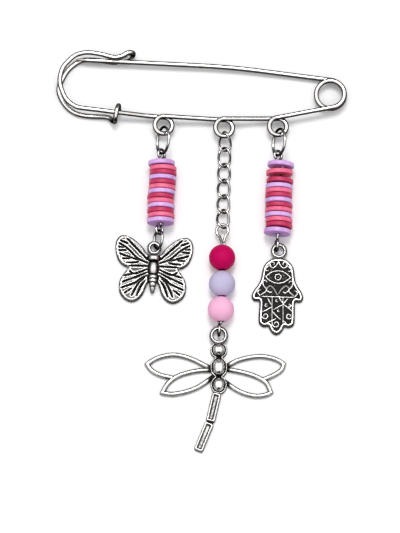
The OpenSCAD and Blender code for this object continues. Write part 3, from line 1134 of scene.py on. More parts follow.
@dataclass
class Studio:
    """Camera, light and floor."""

    # Middle of the picture on the table, and where the camera stands from it.
    aim: tuple[float, float, float] = (-0.35, -3.29, 0.0)
    elevation: float = 76.5
    distance: float = 3000.0
    # Width of the table that the picture shows.
    view_width: float = 92.0
    sensor: float = 36.0
    # What the lens takes in, in metres from it.
    clip: tuple[float, float] = (0.01, 20.0)
    floor_half: float = 6000.0
    # The round key lamp behind the part: watts, metres, and degrees from the zenith.
    key_power: float = 110.0
    key_width: float = 1.76
    key_distance: float = 5.0
    key_tilt: float = 19.5
    # The broad soft box overhead, in watts and metres.
    box_power: float = 262.0
    box_size: tuple[float, float] = (10.0, 8.9)
    box_at: tuple[float, float, float] = (0.0, -0.55, 5.0)
    # What the dull surfaces get from the room, and what the metal mirrors of it.
    room_light: float = 0.27
    room_high: float = 0.8
    room_back: float = 0.2
    room_low: float = 0.1
    front_dark: float = 0.93
    # Where the tent's ceiling, its back and its dark front begin and are full, as parts of a direction.
    ceiling_from: tuple[float, float] = (0.1, 0.45)
    back_from: tuple[float, float] = (0.55, 0.3)
    front_from: tuple[float, float] = (-0.6, -0.75)

    def build(self) -> None:
        """Makes the camera, the lights, the sky and the floor."""
        self._camera()
        self._lamps()
        self._sky()
        self._floor()
        bpy.context.scene.view_settings.view_transform = "Standard"

    def _camera(self) -> None:
        """Stands the camera at the photograph's angle."""
        data = bpy.data.cameras.new("camera")
        data.sensor_fit = "HORIZONTAL"
        data.sensor_width = self.sensor
        data.lens = self.sensor * self.distance / self.view_width
        data.clip_start, data.clip_end = self.clip
        camera = bpy.data.objects.new("camera", data)
        bpy.context.scene.collection.objects.link(camera)
        tilt = math.radians(self.elevation)
        away = Vector((0, -math.cos(tilt), math.sin(tilt))) * self.distance
        camera.location = (Vector(self.aim) + away) * MM
        camera.rotation_euler = (math.pi / 2 - tilt, 0, 0)
        bpy.context.scene.camera = camera

    def _lamps(self) -> None:
        """Hangs a key lamp behind the part and a broad soft box above it."""
        tilt = math.radians(self.key_tilt)
        behind = Vector((0, math.sin(tilt), math.cos(tilt))) * self.key_distance
        self._lamp("key", self.key_power, (self.key_width, self.key_width), behind, tilt).shape = "DISK"
        self._lamp("soft_box", self.box_power, self.box_size, Vector(self.box_at), 0.0).shape = "RECTANGLE"

    @staticmethod
    def _lamp(
        name: str, power: float, size: tuple[float, float], at: Vector, tilt: float
    ) -> bpy.types.AreaLight:
        """Hangs one area lamp that shines down.

        Args:
            name: its name.
            power: its power in watts.
            size: its width and depth in metres.
            at: its middle.
            tilt: how far it leans towards the front, in radians.

        Returns:
            The lamp's data.
        """
        data = bpy.data.lights.new(name, "AREA")
        data.energy = power
        data.size, data.size_y = size
        lamp = bpy.data.objects.new(name, data)
        lamp.location = at
        lamp.rotation_euler = (-tilt, 0, 0)
        bpy.context.scene.collection.objects.link(lamp)
        return data

    def _sky(self) -> None:
        """Lights the part from a bright tent with dark openings in front and at its sides.

        The lens sees a plain pale backdrop; the metal mirrors the tent.
        """
        world = bpy.data.worlds.new("tent")
        bpy.context.scene.world = world
        world.use_nodes = True
        maker = NodeMaker(world.node_tree)
        axes = maker.node("SeparateXYZ")
        maker.feed(axes.inputs[0], maker.node("TexCoord").outputs["Generated"])
        x, y, z = axes.outputs
        back = maker.spread(maker.maths("ABSOLUTE", x), 0, 1, self.back_from, "SMOOTHSTEP")
        ceiling = maker.spread(z, 0, 1, self.ceiling_from, "SMOOTHSTEP")
        front = maker.maths("MULTIPLY", maker.spread(y, 0, 1, self.front_from, "SMOOTHSTEP"), back)
        # The side walls of the tent are brighter than its back.
        walls = maker.spread(back, self.room_high, self.room_back, (0, 1))
        room = maker.maths("ADD", maker.maths("MULTIPLY", ceiling, walls), self.room_low)
        shade = maker.spread(front, 1.0, 1.0 - self.front_dark, (0, 1))
        rays = maker.node("LightPath").outputs
        shader = self._glow(maker, maker.maths("MULTIPLY", room, shade))
        for kind, level in (("Is Diffuse Ray", self.room_light), ("Is Camera Ray", PaperFloor().colour[0])):
            mix = maker.node("MixShader")
            for socket, value in zip(mix.inputs, (rays[kind], shader, self._glow(maker, level))):
                maker.feed(socket, value)
            shader = mix.outputs[0]
        maker.feed(maker.tree.nodes["World Output"].inputs["Surface"], shader)

    @staticmethod
    def _glow(maker: NodeMaker, level: bpy.types.NodeSocket | float) -> bpy.types.NodeSocket:
        """A background of one grey level.

        Args:
            maker: the sky's tree.
            level: the level, as a number or a socket.

        Returns:
            The background's shader.
        """
        node = maker.node("Background")
        maker.feed(node.inputs["Color"], level if isinstance(level, bpy.types.NodeSocket) else (level,) * 3)
        return node.outputs[0]

    def _floor(self) -> None:
        """Lays the paper."""
        half = self.floor_half * MM
        corners = [(x * half, y * half, 0) for x, y in ((-1, -1), (1, -1), (1, 1), (-1, 1))]
        mesh = bpy.data.meshes.new("table_paper")
        mesh.from_pydata(corners, [], [(0, 1, 2, 3)])
        mesh.materials.append(PaperFloor().material())
        linked("table_paper", mesh)


# The sub-assemblies


def deliver(piece: bpy.types.Object, body: Body, slot: Slot, *nodes: str) -> None:
    """Hands a finished piece to the frame and reports it.

    Args:
        piece: the piece.
        body: the body that it moves with.
        slot: its material slot; not used.
        *nodes: the frame's nodes that it stands for.
    """
    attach(piece, body.value)
    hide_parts(*nodes)
    LOG.info("%s: %d faces for %s", piece.name, len(piece.data.polygons), ", ".join(nodes))


@dataclass
class KiltPin:
    """The bent pin: hairpin catch, collar, hanging loops, coil spring and arm."""

    bender: WireBender
    wire_r: float = 0.55
    sides: int = 24
    spacing: float = 0.2
    coil_r: float = 3.25
    coil_pitch: float = 1.35
    coil_centre: tuple[float, float] = (29.9, 37.1)
    coil_z: float = 3.0
    coil_start: float = -79.0
    # Degrees between two points of the coil.
    coil_step: float = 4.0
    # The clip's wire goes on unseen inside the arm's, and fills the gap when it turns.
    coil_split: float = 280.0
    coil_core_end: float = 291.0
    core_step: float = 0.015
    arm_leave: float = 442.0
    # How much wider the coil is where the arm leaves it.
    arm_coil_out: float = 0.45
    loop_r: float = 2.0
    loop_low: float = 1.75
    loop_high: float = 3.0
    # Each hanging loop is one turn that starts and ends at its top.
    loop_turn: tuple[float, float] = (450.0, 90.0)
    loops: Table = ((-8.55, 29.76), (5.4, 29.15), (17.8, 29.45))
    arm_bend: tuple[float, float, float] = (7.0, 43.75, 1.55)
    arm_bend_reach: float = 7.0
    # Where the arm's straight points start behind the bend.
    shank_from: float = 0.4
    arm_tip: tuple[float, float, float] = (-28.8, 45.45, 2.05)
    # The ground point: distances from the tip, and the share of the wire's radius there.
    point_form: Table = ((0, 0.04), (0.12, 0.2), (0.5, 0.36), (2.5, 0.82), (5, 1))
    # Shares of the wire's radius at the first points of its cut end.
    cut_end: Sequence[float] = (0.8, 0.95, 1.0)
    collar: Table = (
        (-18.85, 33.2, 1.55), (-18.85, 34.2, 2.3), (-18.95, 34.1, 3.5), (-19.3, 32.9, 4.2),
        (-19.6, 31.3, 3.75), (-19.8, 30.55, 2.6), (-20.3, 31.1, 1.3),
    )
    rear: Table = (
        (-21.6, 32.1, 0.65), (-25.4, 32.3, 0.6), (-27.7, 32.65, 0.6), (-29.35, 33.3, 0.6),
        (-30.85, 34.55, 0.6), (-32.05, 36.3, 0.6), (-32.7, 38.2, 0.6), (-32.6, 39.5, 0.6),
        (-31.95, 41, 0.6), (-30.8, 43.05, 0.6), (-29.2, 44.6, 0.6), (-27.6, 45.5, 0.6),
        (-26.1, 45.75, 0.6), (-23.7, 45.65, 0.6), (-21.1, 45.25, 0.6), (-19.7, 45.15, 0.6),
    )
    nose: Table = (
        (-17.7, 45.75, 0.6), (-16.4, 46.35, 0.75), (-15.7, 46.55, 1.2), (-15.5, 46.7, 1.8),
        (-15.6, 46.85, 2.5), (-16.1, 46.95, 3),
    )
    front: Table = (
        (-16.9, 46.75, 3.2), (-18.1, 46.05, 3.2), (-19.5, 45.7, 3.2), (-20.8, 45.85, 3.2),
        (-23.1, 46.45, 3.2), (-25.9, 46.85, 3.2), (-27.7, 46.6, 3.2), (-29, 46.1, 3.2),
        (-30.2, 45.1, 3.2), (-31.6, 43.5, 3.2), (-32.3, 41.6, 3.2), (-32.45, 39.8, 3.2),
        (-32, 37.95, 3.2), (-31.1, 35.95, 3.2), (-30.1, 34.9, 3.2), (-28.8, 34.05, 3.2),
        (-27.7, 33.7, 3.2), (-24.05, 33.25, 3.15), (-20.4, 32.8, 3), (-18.8, 32.65, 2.9),
        (-13, 32.1, 2.15),
    )

    def _coil(self, first: float, last: float) -> np.ndarray:
        """Part of the coil between two angles.

        Args:
            first: angle of the first point in degrees.
            last: angle of the last point.

        Returns:
            The wire's centre line.
        """
        drop = self.coil_pitch / 360
        low, high = (self.coil_z - drop * (angle - self.coil_start) for angle in (first, last))
        steps = int(abs(last - first) / self.coil_step) + 2
        return level_arc(self.coil_centre, self.coil_r, first, last, low, high, steps)

    def _frame_path(self) -> tuple[np.ndarray, np.ndarray]:
        """Lays out the clip's own wire.

        Returns:
            Its centre line, and its radius at each point.
        """
        hairpin = spline((*self.collar, *self.rear, *self.nose, *self.front), 8)
        turn = (self.loop_r, *self.loop_turn, self.loop_low, self.loop_high, 60)
        hanging = [level_arc(centre, *turn) for centre in self.loops]
        shown = np.vstack([hairpin, *hanging, self._coil(self.coil_start, self.coil_split)])
        core = self._coil(self.coil_split, self.coil_core_end)[1:]
        radii = np.full(len(shown) + len(core), self.wire_r)
        radii[: len(self.cut_end)] *= self.cut_end
        radii[len(shown) :] -= self.core_step
        return np.vstack([shown, core]), radii

    def _arm_path(self) -> tuple[np.ndarray, np.ndarray]:
        """Lays out the arm, which ends in a ground point.

        Returns:
            Its centre line, and its radius at each point.
        """
        coil = self._coil(self.coil_split, self.arm_leave)
        share = np.linspace(0, 1, len(coil))[:, None]
        coil[:, :2] += (coil[:, :2] - self.coil_centre) / self.coil_r * self.arm_coil_out * share**3
        corner, tip = np.array(self.arm_bend), np.array(self.arm_tip)
        along = unit(tip - corner)
        bend_in = corner + unit(coil[-1] - corner) * self.arm_bend_reach
        bend_out = corner + along * self.arm_bend_reach
        t = np.linspace(0, 1, 25)[:, None]
        bend = (1 - t) ** 2 * bend_in + 2 * t * (1 - t) * corner + t**2 * bend_out
        reach = float(np.linalg.norm(tip - bend_out))
        shank = reach - self.point_form[-1][0]
        run = np.concatenate([np.linspace(self.shank_from, shank, 20)[:-1], np.linspace(shank, reach, 40)])
        left = np.concatenate([np.full(len(coil) + len(bend), reach), reach - run])
        path = np.vstack([coil, bend, bend_out + run[:, None] * along])
        return path, self.wire_r * np.interp(left, *np.transpose(self.point_form))

    def build(self, material: bpy.types.Material) -> None:
        """Bends both wires.

        Args:
            material: their plating.
        """
        for name, body, node, (path, radii) in (
            ("pin_wire", Body.CLIP, "pin_frame", self._frame_path()),
            ("pin_arm_wire", Body.ARM, "pin_arm", self._arm_path()),
        ):
            wire = self.bender.bend(name, path, radii, material, self.sides, self.spacing)
            deliver(wire, body, Slot.PIN_NICKEL, node)


@dataclass
class JumpRing:
    """A jump ring of round wire with its fine cut."""

    node: str
    at: tuple[float, float, float]
    roll: float
    lean: float
    radius: float
    cut: float = 205.0
    cut_width: float = 0.07
    wire_r: float = 0.31
    sides: int = 18
    spacing: float = 0.18

    def build(self, bender: WireBender, material: bpy.types.Material) -> None:
        """Bends the ring.

        Args:
            bender: what bends the wire.
            material: its plating.
        """
        half = math.degrees(self.cut_width / self.radius / 2)
        flat = level_arc((0, 0), self.radius, self.cut + half, self.cut + 360 - half, 0, 0, 90)
        path = flat @ (turning(self.lean, 0) @ turning(0, -self.roll)).T + np.array(self.at)
        piece = bender.bend(self.node + "_wire", path, self.wire_r, material, self.sides, self.spacing)
        deliver(piece, Body.CLIP, Slot.FINE_NICKEL, self.node)


@dataclass
class EyePin:
    """A double eye pin: a straight shaft with a loop bent at each end."""

    node: str
    upper: tuple[float, float, float]
    lower: tuple[float, float, float]
    rolls: tuple[float, float]
    radii: tuple[float, float]
    top: np.ndarray
    low: np.ndarray
    # Points of the upper loop's wire end, where it goes back to the shaft.
    free_end: Table = ()
    shaft_z: float = 2.9
    wire_r: float = 0.31
    sides: int = 16
    spacing: float = 0.12
    # Angles of a loop's wire end and of its neck.
    loop_turn: tuple[float, float] = (235.0, -60.0)
    # How far the bends reach into the shaft, as a share of its length.
    bend_reach: float = 0.04

    def _loop(self, centre: Sequence[float], radius: float, roll: float, way: int) -> np.ndarray:
        """An eye loop that opens towards the shaft.

        Args:
            centre: its centre.
            radius: radius of its centre line.
            roll: its turn about Y in degrees.
            way: 1 at the upper end and -1 at the lower end.

        Returns:
            The loop's centre line.
        """
        angle = np.radians(np.linspace(*self.loop_turn, 37))
        across, along = radius * np.cos(angle), radius * np.sin(angle)
        tilt = math.radians(roll)
        ring = np.column_stack([across * math.cos(tilt), way * along, across * math.sin(tilt)])
        return np.array(centre) + ring

    def build(self, bender: WireBender, material: bpy.types.Material) -> None:
        """Bends the eye pin.

        Args:
            bender: what bends the wire.
            material: its plating.
        """
        steps = 8
        start, end = (np.array([*place, self.shaft_z]) for place in (self.top, self.low))
        reach = (end - start) * self.bend_reach
        upper = self._loop(self.upper, self.radii[0], self.rolls[0], 1)
        lower = self._loop(self.lower, self.radii[1], self.rolls[1], -1)[::-1]
        upper_bend = spline((upper[-4], upper[-1], start, start + reach), steps)[steps:]
        lower_bend = spline((end - reach, end, lower[0], lower[3]), steps)[: 2 * steps + 1]
        tail = spline((*self.free_end, *upper[:8:3]), steps - 2)[: steps - 1] if self.free_end else upper[:1]
        path = np.vstack([tail[:-1], upper, upper_bend[1:], lower_bend[:-1], lower])
        piece = bender.bend(self.node + "_wire", path, self.wire_r, material, self.sides, self.spacing)
        deliver(piece, Body.CLIP, Slot.FINE_NICKEL, self.node)


@dataclass
class DiscStack:
    """A stack of flat clay discs on an eye pin."""

    prefix: str
    start: tuple[float, float]
    # Rows from the top: number of the clay, offset to the side, turn in degrees, and gap above the disc.
    rows: Table
    lean: float = -1.8
    disc_r: float = 3.1
    disc_t: float = 0.98
    lift: float = 0.03

    def place(self, index: int) -> np.ndarray:
        """Place on the stack's axis of a disc.

        Args:
            index: number of the disc from the top.

        Returns:
            x and y of the place.
        """
        run = sum(self.disc_t + row[3] for row in self.rows[1 : index + 1])
        lean = math.radians(self.lean)
        return np.array([self.start[0] + run * math.sin(lean), self.start[1] - run * math.cos(lean)])

    def centres(self, clay: int) -> tuple[np.ndarray, np.ndarray, list[str]]:
        """Centres, turns and nodes of the discs of one clay.

        Args:
            clay: number of the clay in the stack's rows.

        Returns:
            The centres in millimetres, the turns in radians and the node names.
        """
        places, turns, nodes = [], [], []
        for i, (number, offset, turn, _) in enumerate(self.rows):
            if number == clay:
                x, y = self.place(i)
                places.append((x + offset, y, self.disc_r + self.lift))
                turns.append((math.pi / 2, 0, math.radians(turn + self.lean)))
                nodes.append(f"{self.prefix}{i + 1}")
        return np.array(places), np.array(turns), nodes


@dataclass
class DiscPress:
    """Presses all discs of one clay from one drilled, round-edged shape."""

    bore_r: float = 1.0
    edge_r: float = 0.2
    # How much smaller and thicker a disc is than the plain one that it stands for.
    less_r: float = 0.01
    more_t: float = 0.05
    # How far the clay's surface wanders, and the scale per metre and seed of that noise.
    wobble: float = 0.12
    wobble_scale: float = 260.0
    seed: float = 3.0
    maker: TreeMaker = field(default_factory=lambda: TreeMaker("clay_discs"))

    def __post_init__(self) -> None:
        """Builds the tree."""
        maker = self.maker
        outer, bore = maker.size("Outer radius"), maker.size("Bore radius")
        thick, edge = maker.size("Thickness"), maker.size("Edge radius")
        wobble, seed = maker.size("Wobble"), maker.size("Seed")
        material = maker.size("Finish", "Material")
        wall = maker.maths("SUBTRACT", outer, bore)
        middle = maker.maths("MULTIPLY", maker.maths("ADD", outer, bore), 0.5)
        section = maker.node("CurvePrimitiveQuadrilateral", {"Width": wall, "Height": thick}).outputs[0]
        corners = {"Curve": section, "Radius": edge, "Count": 4, "Limit Radius": True}
        rounded = maker.node("FilletCurve", corners, mode="POLY").outputs[0]
        disc = maker.node("CurveToMesh", {"Curve": maker.circle(56, middle), "Profile Curve": rounded})
        height = maker.maths("ABSOLUTE", maker.axes("Position")[2])
        share = maker.maths("DIVIDE", height, maker.maths("MULTIPLY", thick, 0.5))
        # How near each point is to the disc's faces, where the clay gets its painted shade.
        placed = maker.set_on_points(maker.keep(disc.outputs[0], "rim", share))
        real = maker.node("RealizeInstances", {"Geometry": placed})
        field_of = {"W": seed, "Scale": self.wobble_scale, "Detail": 1.0}
        noise = maker.node("ShaderNodeTexNoise", field_of, noise_dimensions="4D").outputs["Color"]
        centred = maker.node("ShaderNodeVectorMath", {0: noise, 1: (0.5, 0.5, 0.5)}, operation="SUBTRACT")
        push = maker.node("ShaderNodeVectorMath", {0: centred.outputs[0], "Scale": wobble}, operation="SCALE")
        moved = maker.node("SetPosition", {"Geometry": real.outputs[0], "Offset": push.outputs[0]})
        maker.finish(moved.outputs[0], material)

    def press(
        self, name: str, stack: DiscStack, clay: int, material: bpy.types.Material
    ) -> tuple[bpy.types.Object, list[str]]:
        """Makes the discs of one clay of a stack.

        Args:
            name: the piece's name.
            stack: the stack.
            clay: number of the clay.
            material: its finish.

        Returns:
            The discs as one piece, and the nodes that they stand for.
        """
        places, turns, nodes = stack.centres(clay)
        mesh = path_mesh(name, places, False, turn=turns)
        sizes = {
            "Outer radius": (stack.disc_r - self.less_r) * MM,
            "Bore radius": self.bore_r * MM,
            "Thickness": (stack.disc_t + self.more_t) * MM,
            "Edge radius": self.edge_r * MM,
            "Wobble": self.wobble * MM,
            "Seed": self.seed + clay,
            "Finish": material,
        }
        return self.maker.grow(name, mesh, sizes), nodes


@dataclass
class RoundBead:
    """A drilled round bead."""

    node: str
    at: tuple[float, float]
    slot: Slot
    finish: FrostedBead
    radius: float = 3.03
    bore_r: float = 0.8
    # The rounded lips of the bore, and how far they stand out.
    lip: float = 0.16
    lip_out: float = 0.04
    lift: float = 0.03
    sides: int = 64

    def build(self) -> None:
        """Turns the bead, with the lips of its bore rounded."""
        radius, lip = self.radius, self.lip
        start = math.asin((self.bore_r + lip) / radius)
        arc = np.linspace(start, math.pi - start, 41)
        ball = [(radius * math.sin(a), -radius * math.cos(a)) for a in arc]
        end = radius * math.cos(start) + self.lip_out
        quarter = np.linspace(1, 0.25, 4) * math.pi / 2
        lips = [(self.bore_r + lip * (1 - math.sin(a)), end - lip * (1 - math.cos(a))) for a in quarter]
        profile = [*ball, *lips, *((out, -up) for out, up in lips)]
        shell = ring_shell(profile, [1.0] * len(profile), self.sides)
        lying = shell.placed(turning(90, 0), (*self.at, radius + self.lift))
        piece = piece_of_shell(self.node + "_ball", lying, self.finish.material())
        deliver(piece, Body.CLIP, self.slot, self.node)


@dataclass
class CurbChain:
    """Six curb links between the middle loop and the beads."""

    top: tuple[float, float] = (5.58, 25.97)
    pitch: float = 3.67
    drift: float = -0.09
    wire_r: float = 0.27
    half_l: float = 2.2
    half_w: float = 1.34
    twist: float = 0.62
    # Height, slope and roll of each link.
    links: Table = ((2.1, 9, 24), (1.55, 9, 0), (1.12, 4, 0), (0.98, 0, 0), (1.32, -11, 0), (1.95, -8, 0))

    def _tree(self) -> TreeMaker:
        """Builds the tree that makes one link and sets it on each point.

        Returns:
            The tree.
        """
        maker = TreeMaker("curb_links")
        half_w, half_l = maker.size("Half width"), maker.size("Half length")
        twist, radius = maker.size("Twist"), maker.size("Wire radius")
        material = maker.size("Finish", "Material")
        x, y, _ = maker.axes("Position")
        height = maker.maths("MULTIPLY", maker.maths("MULTIPLY", x, y), 2.0)
        stretched = ((x, half_w), (y, half_l), (height, twist))
        bent = {i: maker.maths("MULTIPLY", axis, size) for i, (axis, size) in enumerate(stretched)}
        position = maker.node("ShaderNodeCombineXYZ", bent).outputs[0]
        oval = maker.node("SetPosition", {"Geometry": maker.circle(64, 1.0), "Position": position})
        rings = {"Curve": oval.outputs[0], "Profile Curve": maker.circle(16, radius)}
        link = maker.node("CurveToMesh", rings)
        maker.finish(maker.set_on_points(maker.keep_upward(link.outputs[0])), material)
        return maker

    def build(self, material: bpy.types.Material) -> None:
        """Makes the chain.

        Args:
            material: its plating.
        """
        (x, y), count = self.top, range(len(self.links))
        places = [(x + self.drift * i, y - self.pitch * i, self.links[i][0]) for i in count]
        turns = [(math.radians(slope), -math.radians(roll), 0) for _, slope, roll in self.links]
        mesh = path_mesh("curb_chain", np.array(places), False, turn=np.array(turns))
        sizes = {
            "Half width": self.half_w * MM,
            "Half length": self.half_l * MM,
            "Twist": self.twist * MM,
            "Wire radius": self.wire_r * MM,
            "Finish": material,
        }
        piece = self._tree().grow("curb_chain", mesh, sizes)
        deliver(piece, Body.CLIP, Slot.FINE_NICKEL, *(f"link_{i + 1}" for i in count))


@dataclass(frozen=True)
class CastEye:
    """The cast eye of a charm: a ring with a blackened line round its top."""

    at: tuple[float, float, float]
    ring_r: float
    wire_r: float = 0.44
    # The line's place and half width, outwards from the ring's crest, and its depth, in shares of the wire.
    line_at: float = 0.4
    line_w: float = 0.26
    line_deep: float = 0.3
    line_dark: float = 0.92
    # How bright the ring is outside its line, and in its hole.
    outer_patina: float = 0.65
    hole_patina: float = 0.2
    hole_from: float = -0.6
    foot_patina: float = 0.12

    def shell(self) -> Shell:
        """Turns the ring.

        Returns:
            The closed ring.
        """
        rows, patina = [], []
        for angle in np.radians(np.arange(-90, 270, 15)):
            out, up = math.cos(angle), math.sin(angle)
            line = math.exp(-(((out - self.line_at) / self.line_w) ** 2)) if up > 0 else 0.0
            rows.append((self.ring_r + self.wire_r * out, self.wire_r * up * (1 - self.line_deep * line)))
            side = self.outer_patina if out > self.line_at else 1.0
            side = self.hole_patina if out < self.hole_from else side
            patina.append(max(0.5 + 0.5 * up, self.foot_patina) * (1 - self.line_dark * line) * side)
        return ring_shell(rows, patina).placed(np.eye(3), self.at)


@dataclass
class ButterflyCharm:
    """Cast butterfly: ribbed wings, a ringed body and an eye at its head."""

    at: tuple[float, float] = (-10.86, -3.9)
    lean: float = -2.6
    thickness: float = 1.3
    edge_r: float = 0.38
    eye: CastEye = CastEye((0, 4.75, 1.4), 1.22)
    groove_w: float = 0.46
    groove_depth: float = 0.42
    groove_taper: float = 0.9
    vein_w: float = 0.2
    vein_depth: float = 0.1
    vein_taper: float = 1.2
    vein_dark: float = 0.35
    # Crests along the rim and the grooves, and the fine line inside the rim.
    rim_at: float = 0.5
    crest_at: float = 0.4
    crest_w: float = 0.13
    line_at: float = 0.86
    line_w: float = 0.09
    line_dark: float = 0.45
    # The duller field between the crests.
    field_sunk: float = 0.09
    field_patina: float = 0.36
    # How bright the field is at the rim, as a share of what it is inside.
    field_edge: float = 0.75
    # The blackened crevice beside the body: its reach, where it starts and is full, and how deep it is.
    crevice: float = 0.32
    crevice_from: tuple[float, float] = (-0.12, 0.1)
    crevice_deep: float = 0.35
    body_z: float = 1.05
    body_foot: float = 0.3
    # Heights between which the body goes over into bright and into rubbed metal.
    body_bright: tuple[float, float] = (0.7, 1.05)
    body_rubbed: tuple[float, float] = (1.45, 1.85)
    wing: Table = (
        (0, 3), (1.5, 3.4), (2.6, 4.85), (4.4, 6.5), (6, 7.4), (7.5, 7.6), (8.4, 7), (8.9, 5.9),
        (8.95, 4.7), (8.7, 3.2), (8.05, 1.6), (6.95, 0.55), (5.75, 0.1), (6.5, -1.05),
        (7.45, -2.6), (7.75, -4.35), (7.35, -6.15), (6.15, -7.45), (4.6, -7.95), (3.1, -7.25),
        (2.1, -5.9), (1.5, -4.25), (1.1, -3.3), (0, -3),
    )
    grooves: Sequence[Table] = (
        ((6.3, 6.8), (1.5, 2.1)),
        ((7.8, 6.3), (6.1, 5.7)),
        ((8.1, 5.7), (6.05, 4.4), (3.7, 2.25), (1.4, 1.3)),
        ((8.3, 4.8), (7.1, 4.7)),
        ((8.2, 4), (6.4, 4.1)),
        ((8, 3.25), (5.1, 2.35), (3.6, 1.9)),
        ((7.1, 2.05), (5.5, 2.1)),
        ((6.2, 1.1), (4.3, 1.25), (3.4, 1.6)),
        ((5.6, 0.45), (1.4, 0.55)),
        ((5.55, -0.7), (4.3, -1.35), (1.4, -0.25)),
        ((6.7, -1.95), (4.7, -1.45)),
        ((6.95, -3.45), (4.1, -2.2), (1.4, -0.95)),
        ((7.2, -4.85), (4.2, -3.6), (3.1, -2.7), (1.4, -1.65)),
        ((6.3, -6), (4.9, -4.95)),
        ((4.7, -6.5), (3.35, -3.7), (2.5, -2.75), (1.9, -2.3)),
        ((3.6, -6.5), (2.6, -4.1), (1.7, -2.9)),
    )
    # Fine veins in the ribs between the grooves.
    veins: Sequence[Table] = (
        ((6.9, 7.15), (4.8, 6.15), (2.9, 4.4), (1.7, 2.9)),
        ((7.4, 5.95), (5.6, 5.1), (3.2, 2.8), (1.7, 1.75)),
        ((5.4, 4.9), (3.9, 3.4), (2.3, 2.15)),
        ((7.6, 3.75), (6.2, 3.35), (4.6, 2.6)),
        ((7.1, 2.7), (5.6, 2.4)),
        ((3.9, 1.15), (2.9, 0.95), (1.9, 0.9)),
        ((4.9, -0.35), (3.4, -0.35), (2.2, 0.05)),
        ((6.2, -2.6), (4.4, -1.85), (2.4, -0.95)),
        ((6.9, -4.1), (5.1, -3.15), (3.2, -2.1), (1.9, -1.4)),
        ((6.6, -5.4), (4.6, -4.3), (3.5, -3.3)),
        ((5.4, -6.6), (4.3, -5.0), (3.7, -3.9)),
        ((4.1, -6.6), (3.1, -4.4), (2.3, -3.0)),
    )
    body: Table = (
        (3.3, 0), (3.25, 0.7), (2.9, 1.15), (2.4, 1.25), (1.95, 1.1), (1.65, 0.65), (1.45, 0.7),
        (1, 0.85), (0, 0.95), (-0.9, 0.85), (-1.4, 0.65), (-1.65, 0.9), (-2.2, 0.98),
        (-2.4, 0.72), (-2.6, 0.92), (-3.1, 0.9), (-3.3, 0.65), (-3.5, 0.82), (-4.1, 0.75),
        (-4.3, 0.5), (-4.5, 0.65), (-5.2, 0.5), (-5.8, 0.25), (-5.95, 0),
    )

    def _strokes(self) -> list[Stroke]:
        """Grooves and veins of both halves.

        Returns:
            The strokes.
        """
        groove = (self.groove_w, self.groove_depth, Mark.GROOVE, self.groove_taper)
        vein = (self.vein_w, self.vein_depth, Mark.VEIN, self.vein_taper)
        forms = [*((row, groove) for row in self.grooves), *((row, vein) for row in self.veins)]
        return [Stroke(spline(row, 4) * [side, 1], *form) for side in (1, -1) for row, form in forms]

    def _face(self, points: np.ndarray, gap: np.ndarray) -> tuple[np.ndarray, np.ndarray]:
        """Height and patina of the wings.

        Args:
            points: flat points.
            gap: their distances from the outline.

        Returns:
            The heights and the patina.
        """
        inward = np.clip(gap / self.edge_r, 0, 1)
        crest = np.exp(-(((gap - self.rim_at) / self.crest_w) ** 2))
        line = self.line_dark * np.exp(-(((gap - self.line_at) / self.line_w) ** 2))
        cut = np.zeros(len(points))
        relief = np.zeros(len(points))
        for stroke in self._strokes():
            share = stroke.share(points)
            relief = np.maximum(relief, stroke.height * share)
            if stroke.mark is Mark.VEIN:
                cut = np.maximum(cut, share * self.vein_dark)
            else:
                cut = np.maximum(cut, share)
                crest = np.maximum(crest, stroke.crest(points, self.crest_at, self.crest_w))
        height = self.thickness - self.edge_r * (1 - np.sqrt(1 - (1 - inward) ** 2))
        height = height - self.field_sunk * (1 - crest) * inward - relief
        dull, edge = self.field_patina, self.field_edge
        patina = (dull * (edge + (1 - edge) * inward) + (1 - dull) * crest) * (1 - line) * (1 - cut)
        body = np.array(self.body)
        beside = np.abs(points[:, 0]) - np.interp(-points[:, 1], -body[:, 0], body[:, 1])
        crevice = step_between(self.crevice - beside, *self.crevice_from)
        return height - self.crevice_deep * crevice, patina * (1 - crevice)

    def build(self, material: bpy.types.Material) -> None:
        """Casts the butterfly.

        Args:
            material: its antiqued finish.
        """
        wings = CastPlate(mirrored(spline(self.wing, 8))).shell(self._face)
        body = turned_shell(spline(self.body, 5)).placed(np.eye(3), (0, 0, self.body_z))
        height = body.points[:, 2] = np.maximum(body.points[:, 2], self.body_foot)
        body.patina = body.patina * worn_patina(height, self.body_bright, self.body_rubbed)
        whole = joined([wings, body, self.eye.shell()]).placed(turning(0, 0, self.lean), (*self.at, 0))
        deliver(piece_of_shell("butterfly_cast", whole, material), Body.CLIP, Slot.ANTIQUE, "charm_butterfly")


